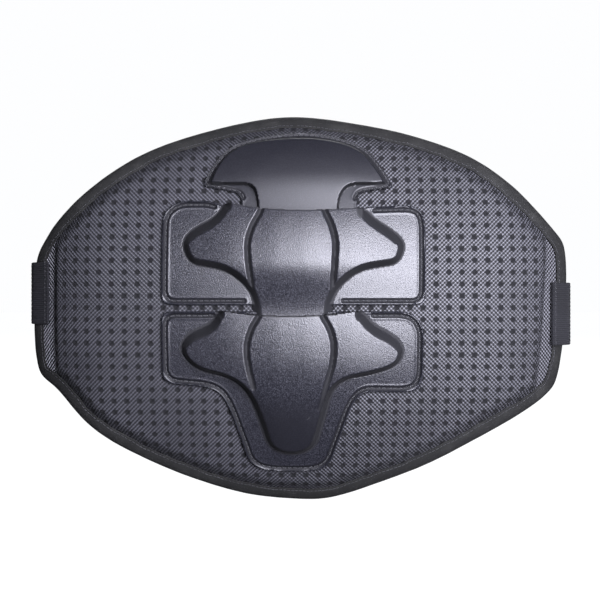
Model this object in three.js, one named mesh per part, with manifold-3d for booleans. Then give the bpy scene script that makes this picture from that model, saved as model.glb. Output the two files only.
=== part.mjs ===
// Lumbar back protector: a curved, padded mesh panel with three shingled plates on its
// outer face, a taped edge, and an elastic strap folded behind each end.
// Millimetres. +Z up (towards the head), +X to the right of someone facing the plates,
// -Y out of the plates. The origin is the centre of the lining face that lies on the back.
import * as THREE from 'three';
import { mergeVertices } from 'three/addons/utils/BufferGeometryUtils.js';
import Module from 'manifold-3d';

const wasm = await Module();
wasm.setup();

// ---------------------------------------------------------------- driving dimensions
const GAP = 0.3;                    // clearance between pieces that touch

const CURVE_RADIUS = 300;           // vertical bow of the panel, seen from the side
const FLAT_HALF_HEIGHT = 10;        // the bow starts this far above and below the origin
const CURL_LEFT = { start: -140, rate: 0.0055 };   // how the ends curl towards the wearer
const CURL_RIGHT = { start: 150, rate: 0.0045 };

const PANEL_THICK = 13;             // padded middle of the panel
const EDGE_THICK = 5;               // compressed edge under the binding
const EDGE_FLAT = 13;               // width of the compressed edge
const EDGE_RAMP = 7;                // width over which the padding reaches full thickness
const COVER_THICK = 1.6;
const LINING_THICK = 1.8;

const BINDING_THICK = 1.2;
const BINDING_LIP = 8;              // how far the tape laps over each face

const HINGE_X = 112;                // the soft wings bend about these two upright lines
const HINGE_SPLIT = GAP / 2;

const FLANGE_THICK = 2.2;
const POD_WALL = 2;
const TOP_POD_HEIGHT = 7;           // pod heights are above the flange's back face
const POD_HEIGHT = 12;
const NECK_HEIGHT = 5.5;            // a neck is lower, to pass under the plate below
const MOUTH_HEIGHT = 9;             // room under a pod's top edge for the neck above it
const PAD_CLEARANCE = 0.5;
const THREAD_RADIUS = 0.5;
const STITCH_INSET = 3.4;           // from a flange's rim to its stitching
const TOP_STITCH_INSET = 2;         // the top plate's flange is narrower
const STITCH_STEP = 8;

const STRAP = { width: 50, thick: 2.4, layerGap: 0.9 };
const STRAP_LEFT = { side: -1, foldX: -217, centreZ: 5.5 };
const STRAP_RIGHT = { side: 1, foldX: 225, centreZ: -11 };
const ANCHOR_LENGTH = 44;           // strap end that is sewn to the lining
const FOLD_INNER_X = 117;           // where the strap turns back on itself
const PATCH = { length: 62, width: 44, thick: 1.2 };
const BOX_STITCH = { length: 26, width: 38, thread: 1.6, thick: 0.5 };

// Edges of the lens-shaped panel: [x, z] along the top and along the bottom.
const TOP_EDGE = [
  [-206, 38], [-190, 59.5], [-158, 89], [-118, 117], [-70, 136], [-22, 148], [10, 149.5],
  [60, 141.5], [100, 131], [140, 114], [170, 92], [195, 68], [217, 46],
];
const BOTTOM_EDGE = [
  [-206, -60], [-188, -71], [-163, -98], [-130, -121], [-85, -144], [-40, -160], [0, -165.5],
  [30, -164.5], [70, -149.5], [110, -131], [158, -102], [195, -80], [209, -69],
];
const END_BULGE = 6;                // the short ends bow outwards by this much

// Plate outlines: [x, z, reach], where reach is how far along each side the corner's
// rounding starts. A large reach makes one smooth curve through the sides' middles.
const SMOOTH = 99;
const TOP_FLANGE = [
  [-40, 61, 2], [-40, 82, 8], [-71, 88, 4], [-62, 108, SMOOTH], [-47, 125, SMOOTH],
  [-8, 133.5, SMOOTH], [22, 133.5, SMOOTH], [56, 123, SMOOTH], [71, 102, SMOOTH], [78, 87, 4],
  [49.5, 82.5, 8], [49.5, 61, 2],
];
const TOP_POD = [
  [-28, 61, 2], [-28, 78, 6], [-31.5, 88.5, 7], [-63, 90, 3], [-57, 108, SMOOTH],
  [-40, 123, SMOOTH], [-10, 128, SMOOTH], [22, 128, SMOOTH], [50, 120, SMOOTH],
  [64, 102, SMOOTH], [71, 90, 3], [42, 88.5, 7], [35.5, 78, 6], [35.5, 61, 2],
];
const MIDDLE_FLANGE = [
  [-100.5, -4, 8], [100.5, -4, 8], [101.5, 64, 10], [94, 73, 10], [60, 72, 6], [50, 70, 3],
  [-50, 70, 3], [-62, 76.5, 6], [-89, 76.5, 8], [-100.5, 66, 8],
];
const MIDDLE_POD = [
  [-51, 75.5, 3], [-24, 70, SMOOTH], [24, 70, SMOOTH], [52, 73.5, 4], [60, 64, 8], [78, 53, 10],
  [87, 43, 10], [81, 27, 8], [50, 22, 10], [34, 8, 10], [30, -3, 3], [28, -20, 3],
  [-30, -20, 3], [-31, -3, 3], [-34, 8, 10], [-50, 22, 10], [-79, 27, 8], [-86, 43, 10],
  [-79, 54, 10], [-60, 64, 8],
];
const LOWER_FLANGE = [
  [-100.5, -8.5, 8], [-100.5, -64, 10], [-62, -67.5, 12], [-52, -77, 14],
  [-41, -110, SMOOTH], [-34, -136, 16], [0, -138.5, SMOOTH], [28, -136, 12],
  [36, -110, SMOOTH], [46, -80, 10], [54, -71, 8], [99.5, -71.5, 14], [99.5, -20, 8],
  [90, -8.5, 10],
];
const LOWER_POD = [
  [-54, -8, 3], [-26, -12, SMOOTH], [22, -12, SMOOTH], [50, -8, 3], [60, -18, 8],
  [79, -27, 10], [86, -38, 10], [80, -51, 10], [60, -57.5, 10], [40, -60.5, 10],
  [30, -70, 10], [25, -92, SMOOTH], [18, -118, 12], [-1, -124, SMOOTH], [-20, -118, 12],
  [-28, -90, SMOOTH], [-36, -70, 12], [-48, -60, 10], [-76, -53, 12], [-88, -37, 10],
  [-80, -24, 8], [-62, -17, 8],
];

// ---------------------------------------------------------------- materials
const material = (color, roughness, metalness = 0) =>
  new THREE.MeshStandardMaterial({ color, roughness, metalness });
const meshFabric = () => material(0x4a4854, 0.85);
const foam = () => material(0x2c2c30, 0.95);
const lining = () => material(0x26262a, 0.9);
const tape = () => material(0x303230, 0.85);
const plastic = () => material(0x3c3e4a, 0.45);
const thread = () => material(0x55565e, 0.7);
const elastic = () => material(0x1f1f22, 0.85);
const hookPile = () => material(0x18181a, 0.95);

// ---------------------------------------------------------------- the panel's surface
// y of the lining's wearer-side face. The front faces are measured forward from it.
function curl(x) {
  const left = Math.max(CURL_LEFT.start - x, 0);
  const right = Math.max(x - CURL_RIGHT.start, 0);
  return CURL_LEFT.rate * left ** 2 + CURL_RIGHT.rate * right ** 2;
}

function bow(z) {
  const beyond = Math.max(Math.abs(z) - FLAT_HALF_HEIGHT, 0);
  return CURVE_RADIUS - Math.sqrt(CURVE_RADIUS ** 2 - beyond ** 2);
}

const backFace = (x, z) => bow(z) + curl(x);

// A smooth curve through [x, z] points, read as z at a given x.
function heightAt(points, x) {
  let i = 0;
  while (i < points.length - 2 && x > points[i + 1][0]) i += 1;
  const slope = (k) => {
    const a = points[Math.max(k - 1, 0)];
    const b = points[Math.min(k + 1, points.length - 1)];
    return (b[1] - a[1]) / (b[0] - a[0]);
  };
  const [x0, z0] = points[i];
  const [x1, z1] = points[i + 1];
  const h = x1 - x0;
  const t = (x - x0) / h;
  const t2 = t * t;
  const t3 = t2 * t;
  return (2 * t3 - 3 * t2 + 1) * z0 + (t3 - 2 * t2 + t) * h * slope(i)
    + (3 * t2 - 2 * t3) * z1 + (t3 - t2) * h * slope(i + 1);
}

const topZ = (x) => heightAt(TOP_EDGE, x);
const bottomZ = (x) => heightAt(BOTTOM_EDGE, x);

// x of the panel's end at height fraction v, from 0 at the bottom corner to 1 at the top.
function endX(side, v) {
  const last = side < 0 ? 0 : TOP_EDGE.length - 1;
  const straight = THREE.MathUtils.lerp(BOTTOM_EDGE[last][0], TOP_EDGE[last][0], v);
  return straight + side * END_BULGE * (1 - Math.abs(2 * v - 1) ** 4);
}

// ---------------------------------------------------------------- solids
// A closed mesh from points and triangles, turned inside out if its volume is negative.
function closedGeometry(points, triangles) {
  let volume = 0;
  const scratch = new THREE.Vector3();
  for (const [a, b, c] of triangles) {
    volume += points[a].dot(scratch.crossVectors(points[b], points[c]));
  }
  const index = volume > 0 ? triangles.flat() : triangles.map(([a, b, c]) => [a, c, b]).flat();
  const geometry = new THREE.BufferGeometry();
  const positions = points.flatMap((p) => [p.x, p.y, p.z]);
  geometry.setAttribute('position', new THREE.Float32BufferAttribute(positions, 3));
  geometry.setIndex(index);
  return geometry;
}

// A slab with a grid of points on each face: place(i, j) gives { x, z, front, back }.
function gridSolid(columns, rows, place) {
  const points = [];
  const triangles = [];
  const at = (i, j, face) => (i * (rows + 1) + j) * 2 + face;
  const quad = (a, b, c, d) => triangles.push([a, b, c], [a, c, d]);
  for (let i = 0; i <= columns; i += 1) {
    for (let j = 0; j <= rows; j += 1) {
      const { x, z, front, back } = place(i, j);
      points.push(new THREE.Vector3(x, front, z), new THREE.Vector3(x, back, z));
    }
  }
  for (let i = 0; i < columns; i += 1) {
    for (let j = 0; j < rows; j += 1) {
      quad(at(i, j, 0), at(i + 1, j, 0), at(i + 1, j + 1, 0), at(i, j + 1, 0));
      quad(at(i, j, 1), at(i, j + 1, 1), at(i + 1, j + 1, 1), at(i + 1, j, 1));
    }
    quad(at(i, 0, 0), at(i, 0, 1), at(i + 1, 0, 1), at(i + 1, 0, 0));
    quad(at(i, rows, 0), at(i + 1, rows, 0), at(i + 1, rows, 1), at(i, rows, 1));
  }
  for (let j = 0; j < rows; j += 1) {
    quad(at(0, j, 0), at(0, j + 1, 0), at(0, j + 1, 1), at(0, j, 1));
    quad(at(columns, j, 0), at(columns, j, 1), at(columns, j + 1, 1), at(columns, j + 1, 0));
  }
  return closedGeometry(points, triangles);
}

// A closed sweep: each station is a ring of the same number of points, and capTriangles
// close the first and the last ring.
function sweptSolid(stations, capTriangles) {
  const ring = stations[0].length;
  const points = stations.flat();
  const triangles = [];
  for (let s = 0; s < stations.length - 1; s += 1) {
    for (let k = 0; k < ring; k += 1) {
      const a = s * ring + k;
      const b = s * ring + (k + 1) % ring;
      triangles.push([a, b, b + ring], [a, b + ring, a + ring]);
    }
  }
  const end = (stations.length - 1) * ring;
  for (const [a, b, c] of capTriangles) {
    triangles.push([a, c, b], [a + end, b + end, c + end]);
  }
  return closedGeometry(points, triangles);
}

function toManifold(geometry) {
  const bare = geometry.clone();
  bare.deleteAttribute('normal');
  bare.deleteAttribute('uv');
  const merged = mergeVertices(bare, 1e-4);
  return new wasm.Manifold(new wasm.Mesh({
    numProp: 3,
    vertProperties: new Float32Array(merged.attributes.position.array),
    triVerts: new Uint32Array(merged.index.array),
  }));
}

function toGeometry(manifold) {
  const { vertProperties, triVerts } = manifold.getMesh();
  const geometry = new THREE.BufferGeometry();
  geometry.setAttribute('position', new THREE.BufferAttribute(vertProperties, 3));
  geometry.setIndex(new THREE.BufferAttribute(triVerts, 1));
  return geometry;
}

// ---------------------------------------------------------------- panel layers
// Heights of the grid rows across the panel at x.
const ROW_FRACTIONS = [0, 0.2, 0.4, 0.5, 0.6, 0.8, 1];
function rowHeight(x, j) {
  const low = bottomZ(x);
  const high = topZ(x);
  const edge = EDGE_FLAT + EDGE_RAMP;
  const rows = [low, low + EDGE_FLAT];
  for (const f of ROW_FRACTIONS) rows.push(THREE.MathUtils.lerp(low + edge, high - edge, f));
  rows.push(high - EDGE_FLAT, high);
  return rows[j];
}
const PANEL_ROWS = ROW_FRACTIONS.length + 3;

// Columns of the three sections, as distances in from the end for the wings.
const CENTRE_COLUMNS = [-1, -0.75, -0.5, -0.25, 0, 0.25, 0.5, 0.75, 1];
const WING_FRACTIONS = [0, 0.2, 0.4, 0.55, 0.7, 0.85, 1];
const EDGE_STEPS = [EDGE_FLAT, 0];

function wingColumnX(side, i, v) {
  const hinge = side * (HINGE_X + HINGE_SPLIT);
  const end = endX(side, v);
  const inner = end - side * (EDGE_FLAT + EDGE_RAMP);
  if (i < WING_FRACTIONS.length) return THREE.MathUtils.lerp(hinge, inner, WING_FRACTIONS[i]);
  return end - side * EDGE_STEPS[i - WING_FRACTIONS.length];
}
const WING_COLUMNS = WING_FRACTIONS.length + EDGE_STEPS.length - 1;

function sectionPoint(section, i, j) {
  const side = section === 'left' ? -1 : 1;
  const x = section === 'centre'
    ? CENTRE_COLUMNS[i] * (HINGE_X - HINGE_SPLIT)
    : wingColumnX(side, i, j / PANEL_ROWS);
  return { x, z: rowHeight(x, j) };
}

// The two outer rows and columns are the compressed edge; the rest is fully padded.
function thicknessAt(section, i, j) {
  const edgeRow = Math.min(j, PANEL_ROWS - j) < 2;
  const edgeColumn = section !== 'centre' && i >= WING_FRACTIONS.length;
  return edgeRow || edgeColumn ? EDGE_THICK : PANEL_THICK;
}

const LAYERS = {
  cover: (thick) => [-thick, -thick + COVER_THICK],
  core: (thick) => [-thick + COVER_THICK + GAP, -LINING_THICK - GAP],
  lining: () => [-LINING_THICK, 0],
};

function panelLayer(section, layer) {
  const columns = section === 'centre' ? CENTRE_COLUMNS.length - 1 : WING_COLUMNS;
  return gridSolid(columns, PANEL_ROWS, (i, j) => {
    const { x, z } = sectionPoint(section, i, j);
    const [front, back] = LAYERS[layer](thicknessAt(section, i, j));
    return { x, z, front: backFace(x, z) + front, back: backFace(x, z) + back };
  });
}

// ---------------------------------------------------------------- edge binding
// Folded tape: a U section whose two lips lap the panel's faces.
const BINDING_GAP = 0.8;
const BINDING_CAP = [[0, 1, 2], [0, 2, 3], [0, 3, 4], [0, 4, 7], [4, 5, 6], [4, 6, 7]];

function bindingRing(x, z, inward) {
  const out = new THREE.Vector2(x, z).addScaledVector(inward, -(BINDING_GAP + BINDING_THICK));
  const wall = new THREE.Vector2(x, z).addScaledVector(inward, -BINDING_GAP);
  const lip = new THREE.Vector2(x, z).addScaledVector(inward, BINDING_LIP);
  const front = (p) => backFace(p.x, p.y) - EDGE_THICK - BINDING_GAP;
  const back = (p) => backFace(p.x, p.y) + BINDING_GAP;
  const at = (p, y) => new THREE.Vector3(p.x, y, p.y);
  return [
    at(out, front(out) - BINDING_THICK), at(lip, front(lip) - BINDING_THICK),
    at(lip, front(lip)), at(wall, front(wall)), at(wall, back(wall)),
    at(lip, back(lip)), at(lip, back(lip) + BINDING_THICK), at(out, back(out) + BINDING_THICK),
  ];
}

// Binding along a run of edge points. The cut ends stay square to X, to meet the next run.
function bindingRun(edge, square) {
  const stations = edge.map(({ x, z }, k) => {
    const before = edge[Math.max(k - 1, 0)];
    const after = edge[Math.min(k + 1, edge.length - 1)];
    const along = new THREE.Vector2(after.x - before.x, after.z - before.z).normalize();
    const inward = new THREE.Vector2(-along.y, along.x);
    if (square.includes(k)) inward.set(0, Math.sign(inward.y));
    return bindingRing(x, z, inward);
  });
  return sweptSolid(stations, BINDING_CAP);
}

// Edge points run anticlockwise seen from the front, so that inward is on their left.
function centreEdge(row) {
  const run = CENTRE_COLUMNS.map((_, i) => sectionPoint('centre', i, row));
  return row === 0 ? run : run.reverse();
}

function wingEdge(section) {
  const run = [];
  for (let i = 0; i < WING_COLUMNS; i += 1) run.push(sectionPoint(section, i, 0));
  for (let j = 0; j <= PANEL_ROWS; j += 1) run.push(sectionPoint(section, WING_COLUMNS, j));
  for (let i = WING_COLUMNS - 1; i >= 0; i -= 1) run.push(sectionPoint(section, i, PANEL_ROWS));
  return section === 'left' ? run.reverse() : run;
}

// ---------------------------------------------------------------- plates
function cornerPath(outline) {
  const path = [];
  outline.forEach(([x, z, reach], k) => {
    const corner = new THREE.Vector2(x, z);
    const before = new THREE.Vector2(...outline.at(k - 1));
    const after = new THREE.Vector2(...outline[(k + 1) % outline.length]);
    const towards = (p) => {
      const length = corner.distanceTo(p);
      return corner.clone().lerp(p, Math.min(reach, length / 2) / length);
    };
    const curve = new THREE.QuadraticBezierCurve(towards(before), corner, towards(after));
    for (const p of curve.getPoints(reach > 5 ? 4 : 2)) {
      if (!path.length || path.at(-1).distanceTo(p) > 0.05) path.push(p);
    }
  });
  if (path[0].distanceTo(path.at(-1)) < 0.05) path.pop();
  return path;
}

// The same outline with every side moved in by a distance.
function insetOutline(outline, distance) {
  const corners = outline.map(([x, z]) => new THREE.Vector2(x, z));
  const turn = THREE.ShapeUtils.isClockWise(corners) ? -1 : 1;
  const inward = (from, to) => {
    const along = new THREE.Vector2().subVectors(to, from).normalize();
    return new THREE.Vector2(-along.y * turn, along.x * turn);
  };
  return corners.map((corner, k) => {
    const a = inward(corners.at(k - 1), corner);
    const b = inward(corner, corners[(k + 1) % corners.length]);
    const mitre = a.clone().add(b).multiplyScalar(distance / (1 + a.dot(b)));
    return [corner.x + mitre.x, corner.y + mitre.y, outline[k][2]];
  });
}

// A closed path with extra points, so that no side is longer than the step.
function subdivided(path, step) {
  return path.flatMap((p, k) => {
    const next = path[(k + 1) % path.length];
    const count = Math.ceil(p.distanceTo(next) / step);
    return Array.from({ length: count }, (_, n) => p.clone().lerp(next, n / count));
  });
}

const PRISM_DEPTH = 120;
function prism(path) {
  const geometry = new THREE.ExtrudeGeometry(new THREE.Shape(path), {
    depth: PRISM_DEPTH, bevelEnabled: false,
  });
  geometry.rotateX(Math.PI / 2);      // outline in XZ, depth along Y
  geometry.translate(0, PRISM_DEPTH / 2, 0);
  return toManifold(geometry);
}

// A slab that follows the bow behind the plates, from y = bow - far to y = bow - near.
const PLATE_STEP = 12;
function bowedSlab(lowZ, highZ, near, far) {
  const rows = Math.ceil((highZ - lowZ) / PLATE_STEP);
  const half = HINGE_X;
  return toManifold(gridSolid(1, rows, (i, j) => {
    const z = THREE.MathUtils.lerp(lowZ, highZ, j / rows);
    return { x: i ? half : -half, z, front: bow(z) - far, back: bow(z) - near };
  }));
}

// A pod's domed block: its front crowns across the width and towards its middle height,
// and drops to the neck's height below the neck's start.
function domedSlab({ lowZ, highZ, height, neck }, near, trim) {
  const low = lowZ - 2;
  const high = highZ + 2;
  const rows = Math.ceil((high - low) / PLATE_STEP);
  const columns = 8;
  return toManifold(gridSolid(columns, rows, (i, j) => {
    const u = 2 * i / columns - 1;
    const w = 2 * j / rows - 1;
    const z = THREE.MathUtils.lerp(low, high, j / rows);
    const shoulder = neck ? THREE.MathUtils.smoothstep(z, neck.z, neck.z + neck.rise) : 1;
    const dome = CROWN * (1 - u * u) * (1 - w * w);
    const lift = THREE.MathUtils.lerp(NECK_HEIGHT, height + dome, shoulder) - trim;
    return { x: u * HINGE_X, z, front: bow(z) - PLATE_BACK - lift, back: bow(z) - near };
  }));
}

const PLATE_BACK = PANEL_THICK + GAP;
const CROWN = 3;

function plate(spec) {
  const { flange, pod, lowZ, highZ, mouth } = spec;
  const sheet = prism(cornerPath(flange))
    .intersect(bowedSlab(lowZ - 2, highZ + 2, PLATE_BACK, PLATE_BACK + FLANGE_THICK));
  const dome = prism(cornerPath(pod)).intersect(domedSlab(spec, PLATE_BACK, 0));
  const hollow = prism(cornerPath(insetOutline(pod, POD_WALL)))
    .intersect(domedSlab(spec, PLATE_BACK - 5, POD_WALL));
  let solid = sheet.add(dome).subtract(hollow);
  if (mouth) solid = solid.subtract(mouthCut(mouth));
  return toGeometry(solid);
}

// The opening in a pod's top edge that the neck of the plate above runs into.
function mouthCut({ x0, x1, z0, z1, height }) {
  const box = new THREE.BoxGeometry(x1 - x0, PRISM_DEPTH, z1 - z0);
  box.translate((x0 + x1) / 2, 0, (z0 + z1) / 2);
  return toManifold(box).intersect(bowedSlab(z0 - 1, z1 + 1, PLATE_BACK - 5, PLATE_BACK + height));
}

// Foam block that fills a pod, clear of its wall and of the neck that enters its mouth.
function podPad(spec) {
  const { pod, lowZ, highZ, mouth, neck } = spec;
  const inside = prism(cornerPath(insetOutline(pod, POD_WALL + PAD_CLEARANCE)));
  const block = inside.intersect(domedSlab(spec, PLATE_BACK, POD_WALL + PAD_CLEARANCE));
  const high = (mouth ? mouth.z0 : highZ) - PAD_CLEARANCE;
  const low = neck ? neck.z : lowZ;
  const keep = new THREE.BoxGeometry(2 * HINGE_X, 2 * PRISM_DEPTH, high - low);
  keep.translate(0, 0, (high + low) / 2);
  return toGeometry(block.intersect(toManifold(keep)));
}

// Lockstitch run: a thin cord that follows a flange's rim where keep(point) is true.
function threadRun(flange, inset, keep) {
  const rim = subdivided(cornerPath(insetOutline(flange, inset)), STITCH_STEP / 2);
  const first = rim.findIndex((p, k) => keep(p) && !keep(rim.at(k - 1)));
  const run = rim.slice(first).concat(rim.slice(0, first)).filter(keep);
  const lift = PLATE_BACK + FLANGE_THICK + GAP + THREAD_RADIUS;
  const path = new THREE.CatmullRomCurve3(
    run.map((p) => new THREE.Vector3(p.x, bow(p.y) - lift, p.y)), false, 'centripetal',
  );
  const section = new THREE.Shape().absarc(0, 0, THREAD_RADIUS, 0, 2 * Math.PI);
  return new THREE.ExtrudeGeometry(section, {
    steps: Math.round(path.getLength() / STITCH_STEP), curveSegments: 3, extrudePath: path,
  });
}

// ---------------------------------------------------------------- straps
// The straps lie flat across their width, against the highest line of the bowed lining.
const strapBow = ({ centreZ, width = STRAP.width }) =>
  Math.max(bow(centreZ + width / 2), bow(centreZ - width / 2));

// A strap layer behind the panel, from x = inner to x = outer, its front face at depth.
function strapLayer(strap, inner, outer, depth, width = STRAP.width, thick = STRAP.thick) {
  const columns = 8;
  const rows = 1;
  return gridSolid(columns, rows, (i, j) => {
    const x = strap.side * THREE.MathUtils.lerp(inner, outer, i / columns);
    const z = strap.centreZ + width * (j / rows - 0.5);
    const y = curl(x) + strapBow(strap) + depth;
    return { x, z, front: y, back: y + thick };
  });
}

const LAYER_STEP = STRAP.thick + STRAP.layerGap;
const layerDepth = (n) => BINDING_GAP + BINDING_THICK + GAP + n * LAYER_STEP;

// Sewn square of thread that holds the strap's end to the lining.
function boxStitch(strap, middle) {
  const depth = layerDepth(0) + STRAP.thick + 0.15;
  const half = BOX_STITCH.length / 2;
  const inside = half - BOX_STITCH.thread;
  const outer = strapLayer(strap, middle - half, middle + half, depth,
    BOX_STITCH.width, BOX_STITCH.thick);
  const inner = strapLayer(strap, middle - inside, middle + inside, depth - 1,
    BOX_STITCH.width - 2 * BOX_STITCH.thread, BOX_STITCH.thick + 2);
  return toGeometry(toManifold(outer).subtract(toManifold(inner)));
}

// ---------------------------------------------------------------- assembly
const object = new THREE.Group();
function add(name, geometry, look) {
  const mesh = new THREE.Mesh(geometry, look);
  mesh.name = name;
  object.add(mesh);
}

for (const section of ['centre', 'left', 'right']) {
  add(`outer_cover_${section}`, panelLayer(section, 'cover'), meshFabric());
  add(`foam_core_${section}`, panelLayer(section, 'core'), foam());
  add(`lining_${section}`, panelLayer(section, 'lining'), lining());
}

const lastColumn = CENTRE_COLUMNS.length - 1;
add('binding_bottom', bindingRun(centreEdge(0), [0, lastColumn]), tape());
add('binding_top', bindingRun(centreEdge(PANEL_ROWS), [0, lastColumn]), tape());
for (const section of ['left', 'right']) {
  const edge = wingEdge(section);
  add(`binding_${section}`, bindingRun(edge, [0, edge.length - 1]), tape());
}

const PLATES = {
  top: {
    flange: TOP_FLANGE, pod: TOP_POD, lowZ: 61, highZ: 134, height: TOP_POD_HEIGHT,
    neck: { z: 72, rise: 14 },
  },
  middle: {
    flange: MIDDLE_FLANGE, pod: MIDDLE_POD, lowZ: -20, highZ: 77, height: POD_HEIGHT,
    neck: { z: -6, rise: 20 },
    mouth: { x0: -43, x1: 52.5, z0: 59, z1: 80, height: MOUTH_HEIGHT },
  },
  lower: {
    flange: LOWER_FLANGE, pod: LOWER_POD, lowZ: -139, highZ: -8, height: POD_HEIGHT,
    mouth: { x0: -33, x1: 32, z0: -22, z1: -5, height: MOUTH_HEIGHT },
  },
};
// Each run of stitching: its plate, its inset, and the part of the rim that it follows.
const STITCHING = {
  top_plate_stitching: ['top', TOP_STITCH_INSET, (p) => p.y > 78],
  middle_plate_stitching_left: [
    'middle', STITCH_INSET, (p) => p.x < -37 && (p.y < 60 || p.x < -60),
  ],
  middle_plate_stitching_right: [
    'middle', STITCH_INSET, (p) => p.x > 37 && (p.y < 60 || p.x > 62),
  ],
  lower_plate_stitching: ['lower', STITCH_INSET, (p) => p.y < -20 || Math.abs(p.x) > 60],
};
for (const [name, spec] of Object.entries(PLATES)) {
  add(`${name}_plate`, plate(spec), plastic());
  add(`${name}_pod_pad`, podPad(spec), foam());
}
for (const [name, [plateName, inset, keep]] of Object.entries(STITCHING)) {
  add(name, threadRun(PLATES[plateName].flange, inset, keep), thread());
}

for (const [name, strap] of [['left', STRAP_LEFT], ['right', STRAP_RIGHT]]) {
  const fold = Math.abs(strap.foldX);
  const anchorInner = fold - ANCHOR_LENGTH;
  add(`strap_anchor_${name}`, strapLayer(strap, anchorInner, fold, layerDepth(0)), elastic());
  add(`anchor_stitching_${name}`, boxStitch(strap, anchorInner + 18), thread());
  add(`strap_inner_${name}`, strapLayer(strap, FOLD_INNER_X, fold, layerDepth(1)), elastic());
  add(`strap_outer_${name}`,
    strapLayer(strap, FOLD_INNER_X, fold - 6, layerDepth(2)), elastic());
  const patchOuter = fold - 10;
  add(`${name === 'left' ? 'hook' : 'loop'}_patch`,
    strapLayer(strap, patchOuter - PATCH.length, patchOuter, layerDepth(2) + STRAP.thick + GAP,
      PATCH.width, PATCH.thick), hookPile());
}

export default object;
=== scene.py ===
import math

import bpy
import numpy as np
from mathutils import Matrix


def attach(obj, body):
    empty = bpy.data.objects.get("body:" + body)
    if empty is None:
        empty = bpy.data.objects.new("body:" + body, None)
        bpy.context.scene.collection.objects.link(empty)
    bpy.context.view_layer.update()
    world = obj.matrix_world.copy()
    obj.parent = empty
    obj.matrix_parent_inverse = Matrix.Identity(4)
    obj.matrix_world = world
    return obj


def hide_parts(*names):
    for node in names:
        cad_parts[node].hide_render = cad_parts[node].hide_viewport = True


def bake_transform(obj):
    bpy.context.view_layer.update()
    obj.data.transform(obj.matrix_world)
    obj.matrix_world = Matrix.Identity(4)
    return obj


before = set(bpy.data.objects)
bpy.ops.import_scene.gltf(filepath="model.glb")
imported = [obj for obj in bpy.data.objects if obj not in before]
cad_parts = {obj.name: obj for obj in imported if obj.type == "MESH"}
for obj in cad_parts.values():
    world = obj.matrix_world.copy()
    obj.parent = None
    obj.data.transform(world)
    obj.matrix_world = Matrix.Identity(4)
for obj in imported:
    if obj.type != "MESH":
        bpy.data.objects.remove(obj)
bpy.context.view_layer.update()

# Lumbar back protector: mesh-covered foam panel with three shingled plates, a taped edge and
# an elastic strap folded behind each end. Lengths are millimetres until a mesh is made.
# +X right and +Z up as seen from the plates' side, -Y out of the plates.
MM = 0.001

# ------------------------------------------------------------------ driving dimensions
CURVE_RADIUS = 300
FLAT_HALF_HEIGHT = 10
CURL_LEFT = (-140, 0.0055)
CURL_RIGHT = (150, 0.0045)

PANEL_THICK = 13
EDGE_THICK = 5
COVER_THICK = 1.4
LINING_THICK = 1.6
CORE_CLEARANCE = 0.3
PAD_RIM = (7.5, 12.5)               # how far in from the edge the padding starts, and its rise
PAD_END = (20, 8)                   # the same at the short ends, past a flat strip

HOLE_PITCH_X = 9.9
HOLE_PITCH_Z = 9.05
HOLE_RADIUS = 2.4
HOLE_DEPTH = 0.9
FIRST_HOLE_Z = 120.8
MESH_THREAD_PITCH = 2.3

FLANGE_THICK = 2.2
PLATE_GAP = 0.3
PLATE_STEP = 0.7
CROWN = 3
MOUTH_HEIGHT = 9
STITCH_INSET = 3.4
TOP_STITCH_INSET = 2

STRAP_WIDTH = 50
STRAP_THICK = 2.0
STRAP_LAYER_STEP = 3.3
STRAP_FIRST_DEPTH = 2.3
ANCHOR_LENGTH = 44
LAP_LENGTH = 19
LAP_DEPTH = 8.6
FOLD_INNER_X = 117
STRAP_TIP_SHORT = 6                 # the strap's tip stops this far short of its fold
RIB_PITCH = 3.1
PATCH_SPAN = (72, 10)               # the patch's ends, measured back from the fold
PATCH_WIDTH = 44
BOX_STITCH_HALF = (13, 19)
BOX_STITCH_CENTRE = 18              # from the strap's sewn end
STRAPS = {
    "left": {"side": -1, "fold": 217, "lap": 213.4, "z": 5.5, "patch": "hook_patch"},
    "right": {"side": 1, "fold": 225, "lap": 223.2, "z": -11, "patch": "loop_patch"},
}

TOP_EDGE = [
    (-206, 38), (-190, 59.5), (-158, 89), (-118, 117), (-70, 136), (-22, 148), (10, 149.5),
    (60, 141.5), (100, 131), (140, 114), (170, 92), (195, 68), (217, 46),
]
BOTTOM_EDGE = [
    (-206, -60), (-188, -71), (-163, -98), (-130, -121), (-85, -144), (-40, -160), (0, -165.5),
    (30, -164.5), (70, -149.5), (110, -131), (158, -102), (195, -80), (209, -69),
]
END_BULGE = 4.2

# Plate outlines: (x, z, reach), where reach is how far along each side the corner's
# rounding starts. A large reach makes one smooth curve through the sides' middles.
SMOOTH = 99
TOP_FLANGE = [
    (-40, 61, 2), (-40, 82, 8), (-71, 88, 4), (-62, 108, SMOOTH), (-47, 125, SMOOTH),
    (-8, 133.5, SMOOTH), (22, 133.5, SMOOTH), (56, 123, SMOOTH), (71, 102, SMOOTH),
    (78, 87, 4), (49.5, 82.5, 8), (49.5, 61, 2),
]
TOP_POD = [
    (-28, 61, 2), (-28, 78, 6), (-31.5, 88.5, 7), (-65.5, 89.4, 3), (-58.5, 108.6, SMOOTH),
    (-42.5, 124.2, SMOOTH), (-9.5, 129.9, SMOOTH), (22.5, 129.9, SMOOTH), (52, 121.3, SMOOTH),
    (66.2, 102.4, SMOOTH), (73, 89.4, 3), (42, 88.5, 7), (35.5, 78, 6), (35.5, 61, 2),
]
MIDDLE_FLANGE = [
    (-100.5, -4, 8), (100.5, -4, 8), (101.5, 64, 10), (94, 73, 10), (60, 72, 6), (50, 70, 3),
    (-50, 70, 3), (-62, 76.5, 6), (-89, 76.5, 8), (-100.5, 66, 8),
]
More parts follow.
